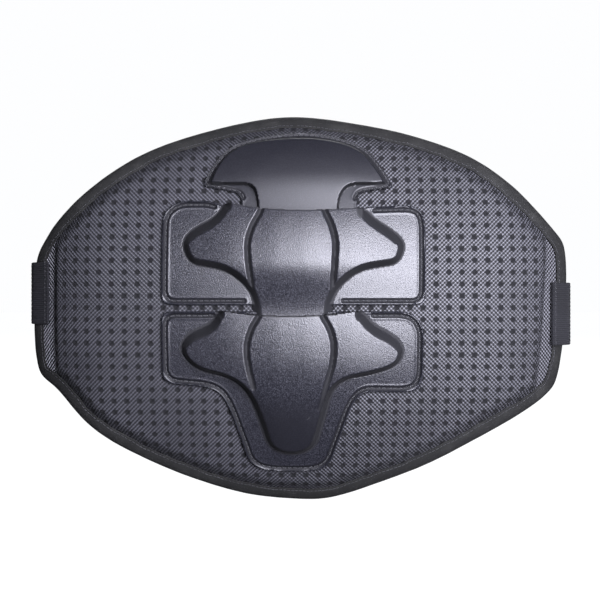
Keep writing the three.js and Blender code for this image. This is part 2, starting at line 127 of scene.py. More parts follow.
MIDDLE_POD = [
    (-53, 75, 3), (-22, 68.2, SMOOTH), (24, 68, SMOOTH), (55.5, 70.3, 3), (62.5, 63, 8),
    (78, 53, 10), (87, 43, 10), (81, 27, 8), (50, 22, 10), (34, 8, 10), (30, -3, 3),
    (28, -20, 3), (-30, -20, 3), (-31, -3, 3), (-34, 8, 10), (-50, 22, 10), (-79, 27, 8),
    (-86, 43, 10), (-79, 54, 10), (-60, 64, 8),
]
LOWER_FLANGE = [
    (-100.5, -8.5, 8), (-100.5, -64, 10), (-62, -67.5, 12), (-52, -77, 14),
    (-41, -110, SMOOTH), (-34, -136, 16), (0, -138.5, SMOOTH), (28, -136, 12),
    (36, -110, SMOOTH), (46, -80, 10), (54, -71, 8), (99.5, -71.5, 14), (99.5, -20, 8),
    (90, -8.5, 10),
]
LOWER_POD = [
    (-57.5, -7.5, 3), (-26, -12, SMOOTH), (22, -12, SMOOTH), (52.8, -7.8, 3), (61, -18, 8),
    (79, -27, 10), (86, -38, 10), (80, -51, 10), (60, -57.5, 10), (40, -60.5, 10),
    (30, -70, 10), (25, -92, SMOOTH), (18, -118, 12), (-1, -124, SMOOTH), (-20, -118, 12),
    (-28, -90, SMOOTH), (-36, -70, 12), (-48, -60, 10), (-76, -53, 12), (-88, -37, 10),
    (-80, -24, 8), (-62, -17, 8),
]

# Each plate: its pod's extent and height above the flange's back, the width of the pod's
# smooth wall, its cut top edge (left, right, above), its neck (where it starts to rise, over
# what height, from which height), the mouth that the neck above enters (left, right, above),
# how much of the sand texture it has, and its moulded grooves.
PLATES = {
    "top": {
        "flange": TOP_FLANGE, "pod": TOP_POD, "low": 61, "high": 134, "height": 7,
        "wall": 1.8, "top_edge": None, "neck": (60, 38, 7.2), "mouth": None, "sand": 0.25,
        "grooves": [],
    },
    "middle": {
        "flange": MIDDLE_FLANGE, "pod": MIDDLE_POD, "low": -20, "high": 77, "height": 12,
        "wall": 6.2, "top_edge": (-52.4, 54.8, 62), "neck": (-14, 44, 5.5),
        "mouth": (-43, 52.5, 59), "sand": 1.0,
        "grooves": [
            [(-23, 80), (-24, 68), (-30, 56), (-33.6, 43), (-33, 27), (-31, 12), (-31, 0)],
            [(22.5, 80), (23.8, 68), (28.8, 56), (31.6, 43), (31, 27), (30, 12), (30, 0)],
        ],
    },
    "lower": {
        "flange": LOWER_FLANGE, "pod": LOWER_POD, "low": -139, "high": -8, "height": 12,
        "wall": 5.7, "top_edge": (-56.8, 52.1, -16), "neck": None,
        "mouth": (-33, 32, -22), "sand": 1.0,
        "grooves": [
            [(-23.5, -4), (-25, -11), (-31, -22), (-34.3, -35), (-33, -50), (-29.5, -66)],
            [(20.5, -4), (22.3, -12), (27.6, -22), (30.5, -35), (29, -50), (25, -64), (20, -82)],
        ],
    },
}
GROOVE_HALF_WIDTH = 2.5
GROOVE_DEPTH = 3.0
WALL_ROUND = 0.14
BEAD = {"height": 0.55, "inset": 1.2, "width": 0.8}    # rounded ridge along a flange's rim
LIP = {"height": 0.35, "inset": 2.3, "width": 0.7}     # ridges beside the sewn groove
SEWN_GROOVE = {"depth": 1.1, "width": 1.15}
RIM_ROUND = 1.1
EDGE_TURN = 1.1                     # smooth strip where a pod's open top edge turns over, painted dark as a shade line
SHELL_WALL = 2.0
LEAST_SHELL = 1.2
POD_ROOM = 8                        # greatest depth of a pod's hollow
SCUFFS = [(-37, -66, 12), (-22, -72, 14), (34, -66, 9), (8, -84, 8)]    # x, z, size

# Each run of stitching: its plate, its inset, and the part of the rim that it follows.
STITCHING = {
    "top_plate_stitching": ("top", TOP_STITCH_INSET, lambda x, z: z > 78),
    "middle_plate_stitching_left": (
        "middle", STITCH_INSET, lambda x, z: (x < -37) & ((z < 60) | (x < -60)),
    ),
    "middle_plate_stitching_right": (
        "middle", STITCH_INSET, lambda x, z: (x > 37) & ((z < 60) | (x > 62)),
    ),
    "lower_plate_stitching": (
        "lower", STITCH_INSET, lambda x, z: (z < -20) | (abs(x) > 60),
    ),
}


# ------------------------------------------------------------------ curves and surfaces
def smooth(t):
    """0 below t = 0, 1 above t = 1, and an S curve between."""
    t = np.clip(t, 0, 1)
    return t * t * (3 - 2 * t)


def lerp(a, b, t):
    return a + (b - a) * t


def lengths_along(path):
    """Distance along the path at each of its points."""
    return np.concatenate([[0], np.cumsum(np.linalg.norm(np.diff(path, axis=0), axis=1))])


def sample(path, along, at):
    """The path's points at the given distances, where along holds its own distances."""
    return np.stack([np.interp(at, along, column) for column in path.T], 1)


def kept_run(rows, kept):
    """The unbroken run of a closed path's rows that are kept, and where it starts."""
    first = np.nonzero(kept & ~np.roll(kept, 1))[0][0]
    return np.roll(rows, -first, 0)[np.roll(kept, -first)], first


def curl(x):
    """How far the panel's ends curl towards the wearer."""
    left = np.maximum(CURL_LEFT[0] - x, 0)
    right = np.maximum(x - CURL_RIGHT[0], 0)
    return CURL_LEFT[1] * left**2 + CURL_RIGHT[1] * right**2


def curl_slope(x):
    left = np.maximum(CURL_LEFT[0] - x, 0)
    right = np.maximum(x - CURL_RIGHT[0], 0)
    return 2 * CURL_RIGHT[1] * right - 2 * CURL_LEFT[1] * left


def bow(z):
    """The panel's vertical bow."""
    beyond = np.maximum(np.abs(z) - FLAT_HALF_HEIGHT, 0)
    return CURVE_RADIUS - np.sqrt(CURVE_RADIUS**2 - beyond**2)


def back_face(x, z):
    return bow(z) + curl(x)


def hermite(points, x):
    """A smooth curve through (x, z) points, read as z at the given x."""
    px, pz = np.array(points, float).T
    slope = np.gradient(pz)
    slope[1:-1] = (pz[2:] - pz[:-2]) / (px[2:] - px[:-2])
    slope[0] = (pz[1] - pz[0]) / (px[1] - px[0])
    slope[-1] = (pz[-1] - pz[-2]) / (px[-1] - px[-2])
    i = np.clip(np.searchsorted(px, x) - 1, 0, len(px) - 2)
    h = px[i + 1] - px[i]
    t = (x - px[i]) / h
    return (
        (2 * t**3 - 3 * t**2 + 1) * pz[i] + (t**3 - 2 * t**2 + t) * h * slope[i]
        + (3 * t**2 - 2 * t**3) * pz[i + 1] + (t**3 - t**2) * h * slope[i + 1]
    )


def end_line(corner_low, corner_high, side, count):
    """The panel's short end, from its low corner to its high one, bowed outwards."""
    v = np.linspace(0, 1, count)
    x = lerp(corner_low[0], corner_high[0], v) + side * END_BULGE * (1 - np.abs(2 * v - 1) ** 4)
    return np.stack([x, lerp(corner_low[1], corner_high[1], v)], 1)


def even(path, step, closed=False):
    """The path sampled again at even steps."""
    if closed:
        path = np.vstack([path, path[:1]])
    along = lengths_along(path)
    count = max(int(round(along[-1] / step)), 2)
    at = np.linspace(0, along[-1], count + 1)
    return sample(path, along, at[:-1] if closed else at)


def panel_outline():
    """The panel's edge, anticlockwise from the low left corner, with softened corners."""
    x_low = np.linspace(BOTTOM_EDGE[0][0], BOTTOM_EDGE[-1][0], 160)
    x_high = np.linspace(TOP_EDGE[-1][0], TOP_EDGE[0][0], 160)
    low = np.stack([x_low, hermite(BOTTOM_EDGE, x_low)], 1)
    high = np.stack([x_high, hermite(TOP_EDGE, x_high)], 1)
    right = end_line(BOTTOM_EDGE[-1], TOP_EDGE[-1], 1, 40)
    left = end_line(BOTTOM_EDGE[0], TOP_EDGE[0], -1, 40)[::-1]
    path = even(np.vstack([low, right[1:], high[1:], left[1:-1]]), 1.5, closed=True)
    shifts = np.arange(-6, 7)
    weights = np.exp(-0.5 * (shifts / 3) ** 2)
    weights /= weights.sum()
    return sum(w * np.roll(path, k, 0) for k, w in zip(shifts, weights))


def corner_path(outline, steps=8):
    """A control polygon's rounded outline."""
    corners = np.array([p[:2] for p in outline], float)
    t = np.linspace(0, 1, steps + 1)[:, None]
    path = []
    for k, corner in enumerate(corners):
        ends = []
        for other in (corners[k - 1], corners[(k + 1) % len(corners)]):
            length = np.linalg.norm(other - corner)
            ends.append(corner + (other - corner) * min(outline[k][2], length / 2) / length)
        path.append((1 - t) ** 2 * ends[0] + 2 * t * (1 - t) * corner + t**2 * ends[1])
    path = np.vstack(path)
    apart = np.linalg.norm(path - np.roll(path, 1, 0), axis=1) > 0.02
    return path[apart]


def inset_outline(outline, distance):
    """The same control polygon with every side moved in by a distance."""
    corners = np.array([p[:2] for p in outline], float)
    x, z = corners.T
    turn = np.sign((x * np.roll(z, -1) - np.roll(x, -1) * z).sum())
    along = np.roll(corners, -1, 0) - corners
    along /= np.linalg.norm(along, axis=1)[:, None]
    inward = np.stack([-along[:, 1], along[:, 0]], 1) * turn
    before = np.roll(inward, 1, 0)
    mitre = (before + inward) * (distance / (1 + (before * inward).sum(1)))[:, None]
    return [(*(c + m), p[2]) for c, m, p in zip(corners, mitre, outline)]


def nearest(path, points, closed=True):
    """Distance from each point to the path, negative inside a closed one, and the nearest
    point on it."""
    starts = path if closed else path[:-1]
    ends = np.roll(path, -1, 0) if closed else path[1:]
    best = np.full(len(points), np.inf)
    near = np.zeros_like(points)
    inside = np.zeros(len(points), bool)
    for a, b in zip(starts, ends):
        d = b - a
        t = np.clip(((points - a) @ d) / (d @ d), 0, 1)
        foot = a + t[:, None] * d
        gap = ((points - foot) ** 2).sum(1)
        closer = gap < best
        best[closer] = gap[closer]
        near[closer] = foot[closer]
        if closed and a[1] != b[1]:
            spans = (a[1] > points[:, 1]) != (b[1] > points[:, 1])
            inside ^= spans & (points[:, 0] < a[0] + (points[:, 1] - a[1]) * d[0] / d[1])
    return np.sqrt(best) * np.where(inside, -1, 1), near


def curve_through(points, step=1.0):
    """A smooth open curve through the points (Catmull-Rom), sampled at even steps."""
    p = np.array(points, float)
    p = np.vstack([2 * p[0] - p[1], p, 2 * p[-1] - p[-2]])
    t = np.linspace(0, 1, 12, endpoint=False)[:, None]
    pieces = []
    for a, b, c, d in zip(p[:-3], p[1:-2], p[2:-1], p[3:]):
        pieces.append(0.5 * (
            2 * b + (c - a) * t + (2 * a - 5 * b + 4 * c - d) * t**2
            + (3 * b - a - 3 * c + d) * t**3
        ))
    return even(np.vstack([*pieces, p[-2:-1]]), step)


def bilinear(xs, zs, field, x, z):
    """A field on an even grid, read between its points."""
    u = np.clip((x - xs[0]) / (xs[1] - xs[0]), 0, len(xs) - 1.001)
    v = np.clip((z - zs[0]) / (zs[1] - zs[0]), 0, len(zs) - 1.001)
    i, j = u.astype(int), v.astype(int)
    u, v = u - i, v - j
    low = lerp(field[i, j], field[i + 1, j], u)
    high = lerp(field[i, j + 1], field[i + 1, j + 1], u)
    return lerp(low, high, v)


# ------------------------------------------------------------------ meshes
def new_piece(name, points, faces, material, uv=None, values=None, sharp=50):
    """A mesh object from points in millimetres. uv is per point. values are named numbers
    that the material reads, the same for each sheet of a closed one."""
    mesh = bpy.data.meshes.new(name)
    mesh.from_pydata((np.asarray(points, float) * MM).tolist(), [], [list(f) for f in faces])
    mesh.polygons.foreach_set("use_smooth", np.ones(len(mesh.polygons), bool))
    mesh.set_sharp_from_angle(angle=math.radians(sharp))
    if uv is not None:
        corners = np.empty(len(mesh.loops), np.int32)
        mesh.loops.foreach_get("vertex_index", corners)
        layer = mesh.uv_layers.new(name="flat")
        layer.data.foreach_set("uv", np.asarray(uv, np.float32)[corners].ravel())
    for key, numbers in (values or {}).items():
        attribute = mesh.attributes.new(key, "FLOAT", "POINT")
        sheets = len(points) // len(numbers)
        attribute.data.foreach_set("value", np.tile(numbers, sheets).astype(np.float32))
    mesh.materials.append(material)
    piece = bpy.data.objects.new(name, mesh)
    bpy.context.scene.collection.objects.link(piece)
    return piece


def grid_quads(keep):
    """Quads of the kept cells of a grid, facing -Y, and which grid points they use."""
    nx, nz = keep.shape[0] + 1, keep.shape[1] + 1
    index = np.arange(nx * nz).reshape(nx, nz)
    quads = np.stack(
        [index[:-1, :-1][keep], index[1:, :-1][keep], index[1:, 1:][keep], index[:-1, 1:][keep]],
        1,
    )
    used = np.unique(quads)
    renumber = np.full(nx * nz, -1)
    renumber[used] = np.arange(len(used))
    return renumber[quads], used


def closed_sheet(front, back, quads):
    """Points and faces of the closed solid between two sheets that share their quads."""
    n = len(front)
    edges = np.concatenate([quads[:, [k, (k + 1) % 4]] for k in range(4)])
    forward = edges[:, 0] * n + edges[:, 1]
    backward = edges[:, 1] * n + edges[:, 0]
    rim = edges[~np.isin(forward, backward)]
    walls = np.stack([rim[:, 1], rim[:, 0], rim[:, 0] + n, rim[:, 1] + n], 1)
    return np.vstack([front, back]), np.vstack([quads, quads[:, ::-1] + n, walls])


def capsules(centres, along, length, radius, sides):
    """Short round-ended threads laid at the centres, each along its own direction."""
    along = along / np.linalg.norm(along, axis=1)[:, None]
    reference = np.where(np.abs(along[:, 1:2]) > 0.9, [[1.0, 0, 0]], [[0, 1.0, 0]])
    side = np.cross(along, reference)
    side /= np.linalg.norm(side, axis=1)[:, None]
    up = np.cross(side, along)
    reach = np.array([-1, -0.93, -0.72, 0, 0.72, 0.93, 1]) * length / 2
    girth = np.array([0.15, 0.65, 0.95, 1.08, 0.95, 0.65, 0.15]) * radius
    angle = np.linspace(0, 2 * math.pi, sides, endpoint=False)
    ring = (
        np.cos(angle)[None, None, :, None] * side[:, None, None, :]
        + np.sin(angle)[None, None, :, None] * up[:, None, None, :]
    )
    points = (
        centres[:, None, None, :] + reach[None, :, None, None] * along[:, None, None, :]
        + girth[None, :, None, None] * ring
    )
    rings = len(reach)
    k = np.arange(sides)
    faces = []
    for r in range(rings - 1):
        a = r * sides + k
        b = r * sides + (k + 1) % sides
        faces.append(np.stack([a, b, b + sides, a + sides], 1))
    start = (np.arange(len(centres)) * rings * sides)[:, None, None]
    quads = (np.vstack(faces)[None] + start).reshape(-1, 4)
    caps = []
    for s in start[:, 0, 0]:
        caps.append((s + k[::-1]).tolist())
        caps.append((s + (rings - 1) * sides + k).tolist())
    return points.reshape(-1, 3), quads.tolist() + caps


def swept(stations):
    """A sweep whose stations are rings of the same number of points, with capped ends."""
    count, ring = stations.shape[:2]
    k = np.arange(ring)
    a = np.arange(count - 1)[:, None] * ring + k
    b = np.arange(count - 1)[:, None] * ring + (k + 1) % ring
    quads = np.stack([a, b, b + ring, a + ring], 2).reshape(-1, 4)
    last = (count - 1) * ring
    caps = [k[::-1].tolist(), (k + last).tolist()]
    return stations.reshape(-1, 3), quads.tolist() + caps


def made_of(slot, name, points, faces, **more):
    """A piece made of one of the part's named materials."""
    piece = new_piece(name, points, faces, LOOKS[slot], **more)
    return piece


def thread_piece(name, centres, along, length, radius, sides=6):
    """Short visible lengths of sewing thread, as one piece."""
    points, faces = capsules(centres, along, length, radius, sides)
    return made_of("sewing_thread", name, points, faces)


# ------------------------------------------------------------------ materials
PALE = (0.985, 0.99, 1, 1)


class Look:
    """One procedural material, with short calls for the nodes used here."""

    def __init__(self, name, roughness, specular=0.5, sheen=0.0):
        self.material = bpy.data.materials.new(name)
        self.material.use_nodes = True
        self.tree = self.material.node_tree
        self.shader = self.tree.nodes["Principled BSDF"]
        self.shader.inputs["Roughness"].default_value = roughness
        self.shader.inputs["Specular IOR Level"].default_value = specular
        self.shader.inputs["Sheen Weight"].default_value = sheen
        self.shader.inputs["Sheen Roughness"].default_value = 0.5

    def node(self, kind, **settings):
        node = self.tree.nodes.new("ShaderNode" + kind)
        for key, value in settings.items():
            setattr(node, key, value)
        return node

    def feed(self, value, socket):
        if isinstance(value, bpy.types.NodeSocket):
            self.tree.links.new(value, socket)
        else:
            socket.default_value = value

    def maths(self, operation, *values):
        node = self.node("Math", operation=operation)
        for value, socket in zip(values, node.inputs):
            self.feed(value, socket)
        return node.outputs[0]

    def times(self, a, b):
        return self.maths("MULTIPLY", a, b)

    def plus(self, a, b):
        return self.maths("ADD", a, b)

    def step(self, value, low, high):
        """0 where value is at low, 1 where it is at high, smooth between."""
        node = self.node("MapRange", interpolation_type="SMOOTHSTEP")
        for socket, number in zip(node.inputs, (value, low, high, 0.0, 1.0)):
            self.feed(number, socket)
        return node.outputs[0]

    def mix(self, factor, a, b):
        node = self.node("Mix", data_type="RGBA")
        self.feed(factor, node.inputs[0])
        self.feed(a, node.inputs[6])
        self.feed(b, node.inputs[7])
        return node.outputs[2]

    def number(self, name):
        return self.node("Attribute", attribute_name=name).outputs["Fac"]

    def flat(self):
        """The two flat coordinates of the cloth, in millimetres."""
        apart = self.node("SeparateXYZ")
        self.feed(self.node("UVMap", uv_map="flat").outputs[0], apart.inputs[0])
        return apart.outputs[0], apart.outputs[1]

    def place(self):
        return self.node("TexCoord").outputs["Object"]

    def noise(self, scale, detail, roughness=0.5):
        node = self.node("TexNoise")
        self.feed(self.place(), node.inputs["Vector"])
        node.inputs["Scale"].default_value = scale
        node.inputs["Detail"].default_value = detail
        node.inputs["Roughness"].default_value = roughness
        return node.outputs["Fac"]

    def bump(self, height, distance, strength):
        node = self.node("Bump")
        self.feed(height, node.inputs["Height"])
        node.inputs["Distance"].default_value = distance
        node.inputs["Strength"].default_value = strength
        return node.outputs[0]

    def ridges(self, coordinate, period, sharpness):
        """Threads side by side: 1 along each thread's top, 0 between threads."""
        turn = self.times(coordinate, math.pi / period)
        wave = self.maths("ABSOLUTE", self.maths("COSINE", turn))
        return self.maths("POWER", wave, sharpness)

    def finish(self, colour, normal=None, roughness=None):
        self.feed(colour, self.shader.inputs["Base Color"])
        if normal:
            self.feed(normal, self.shader.inputs["Normal"])
        if roughness:
            self.feed(roughness, self.shader.inputs["Roughness"])
        return self.material


def mesh_fabric():
    """Open diagonal mesh over punched foam: pale threads, dark between and over the holes.
    Painted light: one thread family is painted brighter than the other by quadrant as a highlight
    pattern, the left half is a painted-shade copy, and the end strips carry a painted highlight.
    """
    look = Look("mesh_fabric", roughness=0.55, specular=0.42)
    u, v = look.flat()
    spacing = MESH_THREAD_PITCH * math.sqrt(2)
    # Painted highlight: by quadrant, one thread family is painted brighter and the other darker.
    painted_glint_bias = look.number("painted_glint_bias")
    rising = look.ridges(look.plus(u, v), spacing, 1.5)
    rising = look.times(rising, look.maths("MULTIPLY_ADD", painted_glint_bias, -0.45, 0.85))
    falling = look.ridges(look.maths("SUBTRACT", u, v), spacing, 1.5)
    falling = look.times(falling, look.maths("MULTIPLY_ADD", painted_glint_bias, 0.45, 0.85))
    lattice = look.maths("MAXIMUM", rising, falling)
    knots = look.times(rising, falling)
    weave = look.plus(look.times(lattice, 0.70), look.times(knots, 0.40))
    across = look.maths("WRAP", u, HOLE_PITCH_X / 2, -HOLE_PITCH_X / 2)
    shifted = look.maths("SUBTRACT", v, FIRST_HOLE_Z)
    up = look.maths("WRAP", shifted, HOLE_PITCH_Z / 2, -HOLE_PITCH_Z / 2)
    radius = look.maths("SQRT", look.plus(look.times(across, across), look.times(up, up)))
    solid = look.step(radius, HOLE_RADIUS * 0.68, HOLE_RADIUS * 1.16)
    solid = look.maths("MAXIMUM", solid, look.number("flat_edge"))
    patches = look.step(look.noise(14, 3), 0.3, 0.7)
    # Painted shade: the left half takes a shaded copy of the mesh, with darker threads and
    # lighter gaps.
    left_shade_mask = look.number("left_shade")
    gaps = look.mix(left_shade_mask, (0.003, 0.003, 0.004, 1), (0.013, 0.013, 0.016, 1))
    ground = look.mix(solid, (0.002, 0.002, 0.003, 1), gaps)
    lit_thread = look.mix(patches, (0.090, 0.090, 0.103, 1), (0.124, 0.124, 0.140, 1))
    left_shade = look.mix(patches, (0.052, 0.052, 0.061, 1), (0.074, 0.074, 0.086, 1))
    pale = look.mix(left_shade_mask, lit_thread, left_shade)
    thread = look.mix(solid, (0.008, 0.008, 0.010, 1), pale)
    # Painted highlight: the flat end strips are painted pale, as if catching the light.
    thread = look.mix(look.number("end_strip_highlight"), thread, (0.36, 0.36, 0.39, 1))
    covered = look.step(weave, 0.42, 0.92)
    colour = look.mix(covered, ground, thread)
    lit = look.times(solid, look.maths("MULTIPLY_ADD", covered, 0.5, 0.5))
    roughness = look.maths("MULTIPLY_ADD", lit, -0.45, 0.95)
    return look.finish(colour, look.bump(weave, 0.0005, 0.9), roughness)


def lining_fabric():
    """Knitted spacer lining: small staggered eyelets in a soft black knit."""
    look = Look("lining_fabric", roughness=0.9, specular=0.2, sheen=0.25)
    u, v = look.flat()
    slant = look.times(v, 0.6)
    rising = look.ridges(look.plus(u, slant), 3.4, 1.0)
    falling = look.ridges(look.maths("SUBTRACT", u, slant), 3.4, 1.0)
    knit = look.maths("MAXIMUM", rising, falling)
    rows = look.ridges(v, 0.9, 1.0)
    relief = look.plus(knit, look.times(rows, 0.25))
    cloudy = look.step(look.noise(10, 3), 0.3, 0.7)
    high = look.mix(cloudy, (0.040, 0.040, 0.044, 1), (0.056, 0.056, 0.062, 1))
    colour = look.mix(look.step(knit, 0.25, 0.8), (0.006, 0.006, 0.007, 1), high)
    return look.finish(colour, look.bump(relief, 0.0007, 0.9))


def binding_tape():
    """Grosgrain tape: fine ribs across its width and a slightly worn crest."""
    look = Look("binding_tape", roughness=0.8, specular=0.25)
    along, around = look.flat()
    ribs = look.ridges(along, 0.75, 0.8)
    warp = look.ridges(around, 0.9, 0.8)
    cloth = look.plus(look.times(ribs, 0.7), look.times(warp, 0.3))
    worn = look.step(look.noise(60, 4, 0.6), 0.45, 0.75)
    fluff = look.step(look.noise(700, 2, 0.6), 0.60, 0.72)
    base = look.mix(worn, (0.017, 0.017, 0.0162, 1), (0.032, 0.032, 0.030, 1))
    base = look.mix(look.times(fluff, 0.6), base, (0.07, 0.07, 0.068, 1))
    colour = look.mix(look.step(cloth, 0.2, 0.9), (0.003, 0.003, 0.0035, 1), base)
    return look.finish(colour, look.bump(cloth, 0.00025, 0.9))


def plate_plastic():
    """Moulded charcoal plastic: sand texture on the faces, smooth walls and grooves. The recesses
    are painted a darker colour as shade, and so is the strip along a pod's edge over the mouth,
    as a shade line.
    """
    look = Look("plate_plastic", roughness=0.5, specular=0.56)
    sand = look.number("sand")
    recess = look.number("recess")
    grain = look.noise(1350, 1, 0.6)
    coarse = look.noise(210, 2, 0.5)
    relief = look.plus(grain, look.times(coarse, 0.15))
    height = look.times(relief, sand)
    cloudy = look.step(look.noise(18, 4, 0.6), 0.3, 0.75)
    speck = look.times(look.step(grain, 0.42, 0.68), sand)
    face = look.mix(cloudy, (0.005, 0.005, 0.008, 1), (0.007, 0.007, 0.010, 1))
    face = look.mix(look.times(speck, 0.6), face, (0.055, 0.056, 0.068, 1))
    # Painted shade: the recesses take a darker colour than the faces, on top of their smooth
    # unsanded finish.
    colour = look.mix(recess, face, (0.003, 0.003, 0.005, 1))
    scuffs = look.step(look.noise(95, 6, 0.75), 0.66, 0.74)
    scuffs = look.times(scuffs, look.number("scuffed"))
    colour = look.mix(look.times(scuffs, 0.55), colour, (0.17, 0.17, 0.175, 1))
    sparkle = look.times(look.maths("SUBTRACT", grain, 0.5), sand)
    finish = look.maths("MULTIPLY_ADD", sand, -0.13, 0.455)
    roughness = look.maths("MULTIPLY_ADD", sparkle, 0.22, finish)
    roughness = look.maths("MAXIMUM", roughness, look.times(recess, 0.78))
    return look.finish(colour, look.bump(height, 0.0004, 0.5), roughness)


def sewing_thread():
    """Twisted polyester thread."""
    look = Look("sewing_thread", roughness=0.55, specular=0.5, sheen=0.2)
    twist = look.node("TexWave", wave_type="BANDS", bands_direction="DIAGONAL")
    look.feed(look.place(), twist.inputs["Vector"])
    twist.inputs["Scale"].default_value = 900
    twist.inputs["Distortion"].default_value = 1.0
    strand = twist.outputs["Fac"]
    colour = look.mix(strand, (0.008, 0.008, 0.010, 1), (0.032, 0.032, 0.038, 1))
    return look.finish(colour, look.bump(strand, 0.0002, 0.7))


def strap_elastic():
    """Woven elastic: lengthwise cords crossed by close picks."""
    look = Look("strap_elastic", roughness=0.8, specular=0.25, sheen=0.03)
    along, across = look.flat()
    cords = look.ridges(across, 1.55, 0.9)
    picks = look.ridges(along, 0.62, 0.9)
    cloth = look.plus(look.times(cords, 0.6), look.times(picks, 0.4))
    uneven = look.step(look.noise(30, 3), 0.3, 0.7)
    high = look.mix(uneven, (0.010, 0.010, 0.0125, 1), (0.016, 0.016, 0.020, 1))
    colour = look.mix(look.step(cloth, 0.2, 0.9), (0.003, 0.003, 0.004, 1), high)
    return look.finish(colour, look.bump(cloth, 0.0004, 0.9))


def hook_and_loop():
    """Nylon pile: close, fuzzy and matt."""
    look = Look("hook_and_loop", roughness=0.95, specular=0.2, sheen=0.5)
    fuzz = look.noise(900, 4, 0.7)
    tufts = look.noise(160, 3, 0.6)
    pile = look.plus(fuzz, tufts)
    colour = look.mix(look.step(pile, 0.7, 1.3), (0.006, 0.006, 0.007, 1),
                      (0.050, 0.050, 0.056, 1))
    return look.finish(colour, look.bump(pile, 0.0009, 0.9))


def foam():
    """Closed-cell foam with fine pores."""
    look = Look("foam", roughness=0.95, specular=0.2)
    cells = look.node("TexVoronoi")
    look.feed(look.place(), cells.inputs["Vector"])
    cells.inputs["Scale"].default_value = 900
    pores = cells.outputs["Distance"]
    colour = look.mix(pores, (0.010, 0.010, 0.011, 1), (0.035, 0.035, 0.038, 1))
    return look.finish(colour, look.bump(pores, 0.0004, 0.6))


def floor_look():
    """Matt floor: pale itself, and dark in what it throws back on the object."""
    look = Look("floor", roughness=0.9, specular=0.1)
    colour = look.mix(look.noise(3, 2), (0.05, 0.05, 0.051, 1), (0.055, 0.055, 0.055, 1))
    seen = look.node("LightPath").outputs["Is Camera Ray"]
    look.shader.inputs["Emission Color"].default_value = PALE
    look.feed(seen, look.shader.inputs["Emission Strength"])
    return look.finish(colour)


LOOKS = {
    make.__name__: make() for make in (
        mesh_fabric, lining_fabric, binding_tape, plate_plastic, sewing_thread, strap_elastic,
        hook_and_loop, foam,
    )
}

# ------------------------------------------------------------------ camera, light, floor
CAMERA_PLACE = (0.0053, -0.512, 0.0)
CAMERA_LENS = 39.3

scene = bpy.context.scene
camera = bpy.data.objects.new("camera", bpy.data.cameras.new("camera"))
camera.location = CAMERA_PLACE
camera.rotation_euler = (math.pi / 2, 0, 0)
camera.data.lens = CAMERA_LENS
camera.data.sensor_width = 36
camera.data.clip_start = 0.01
scene.collection.objects.link(camera)
scene.camera = camera
scene.view_settings.view_transform = "Standard"


def soft_light(name, place, aim, size, power, tint):
    """A disc lamp that lights the object without being seen itself."""
    lamp = bpy.data.lights.new(name, "AREA")
    lamp.shape = "DISK"
    lamp.size = size
    lamp.energy = power
    lamp.color = tint
    light = bpy.data.objects.new(name, lamp)
    light.location = place
    light.visible_camera = False
    direction = np.array(aim, float) - np.array(place, float)
    yaw = math.atan2(direction[1], direction[0]) - math.pi / 2
    pitch = math.atan2(direction[2], math.hypot(direction[0], direction[1])) + math.pi / 2
    light.rotation_euler = (pitch, 0, yaw)
    scene.collection.objects.link(light)


soft_light("key", (0.165, -0.52, 0.12), (0.03, 0, 0), 0.40, 10.2, (0.88, 0.88, 1.0))
soft_light("side", (0.34, -0.50, -0.12), (0.10, 0, -0.04), 0.22, 3.2, (0.88, 0.88, 1.0))
soft_light("fill", (-0.9, -1.3, 0.9), (0, 0, 0), 0.9, 0.6, (0.9, 0.92, 1.0))
soft_light("back", (0.3, 1.7, 1.3), (0, 0, 0), 1.6, 60, (0.95, 0.97, 1.0))

world = bpy.data.worlds.new("studio")
world.use_nodes = True
scene.world = world
tree = world.node_tree
ambient = tree.nodes["Background"]
ambient.inputs["Color"].default_value = (0.85, 0.89, 1, 1)
ambient.inputs["Strength"].default_value = 0.085
backdrop = tree.nodes.new("ShaderNodeBackground")
backdrop.inputs["Color"].default_value = PALE
backdrop.inputs["Strength"].default_value = 1.0
chooser = tree.nodes.new("ShaderNodeMixShader")
rays = tree.nodes.new("ShaderNodeLightPath")
tree.links.new(rays.outputs["Is Camera Ray"], chooser.inputs[0])
tree.links.new(ambient.outputs[0], chooser.inputs[1])
tree.links.new(backdrop.outputs[0], chooser.inputs[2])
tree.links.new(chooser.outputs[0], tree.nodes["World Output"].inputs["Surface"])

FLOOR_Z = -168.6
FLOOR_RADIUS = 9000
FLOOR_SIDES = 96
turn = np.linspace(0, 2 * math.pi, FLOOR_SIDES, endpoint=False)
rim = np.stack([np.cos(turn), np.sin(turn), 0 * turn], 1) * FLOOR_RADIUS + [0, 0, FLOOR_Z]
floor = new_piece("floor", np.vstack([rim, [[0, 0, FLOOR_Z]]]),
                  [(k, (k + 1) % FLOOR_SIDES, FLOOR_SIDES) for k in range(FLOOR_SIDES)],
                  floor_look())

# ------------------------------------------------------------------ the padded panel
OUTLINE = panel_outline()
FLANGE_PATHS = {name: corner_path(spec["flange"]) for name, spec in PLATES.items()}
POD_PATHS = {name: corner_path(spec["pod"]) for name, spec in PLATES.items()}

FIELD_X = np.arange(-228, 237, 3.0)
FIELD_Z = np.arange(-180, 163, 3.0)
field_points = np.stack(np.meshgrid(FIELD_X, FIELD_Z, indexing="ij"), 2).reshape(-1, 2)
field_shape = (len(FIELD_X), len(FIELD_Z))
EDGE_FIELD = -nearest(OUTLINE, field_points)[0].reshape(field_shape)
PLATE_FIELD = np.min(
    [nearest(path, field_points)[0] for path in (*FLANGE_PATHS.values(), *POD_PATHS.values())],
    axis=0,
).reshape(field_shape)


def edge_distance(x, z):
    return bilinear(FIELD_X, FIELD_Z, EDGE_FIELD, x, z)


def plate_distance(x, z):
    return bilinear(FIELD_X, FIELD_Z, PLATE_FIELD, x, z)


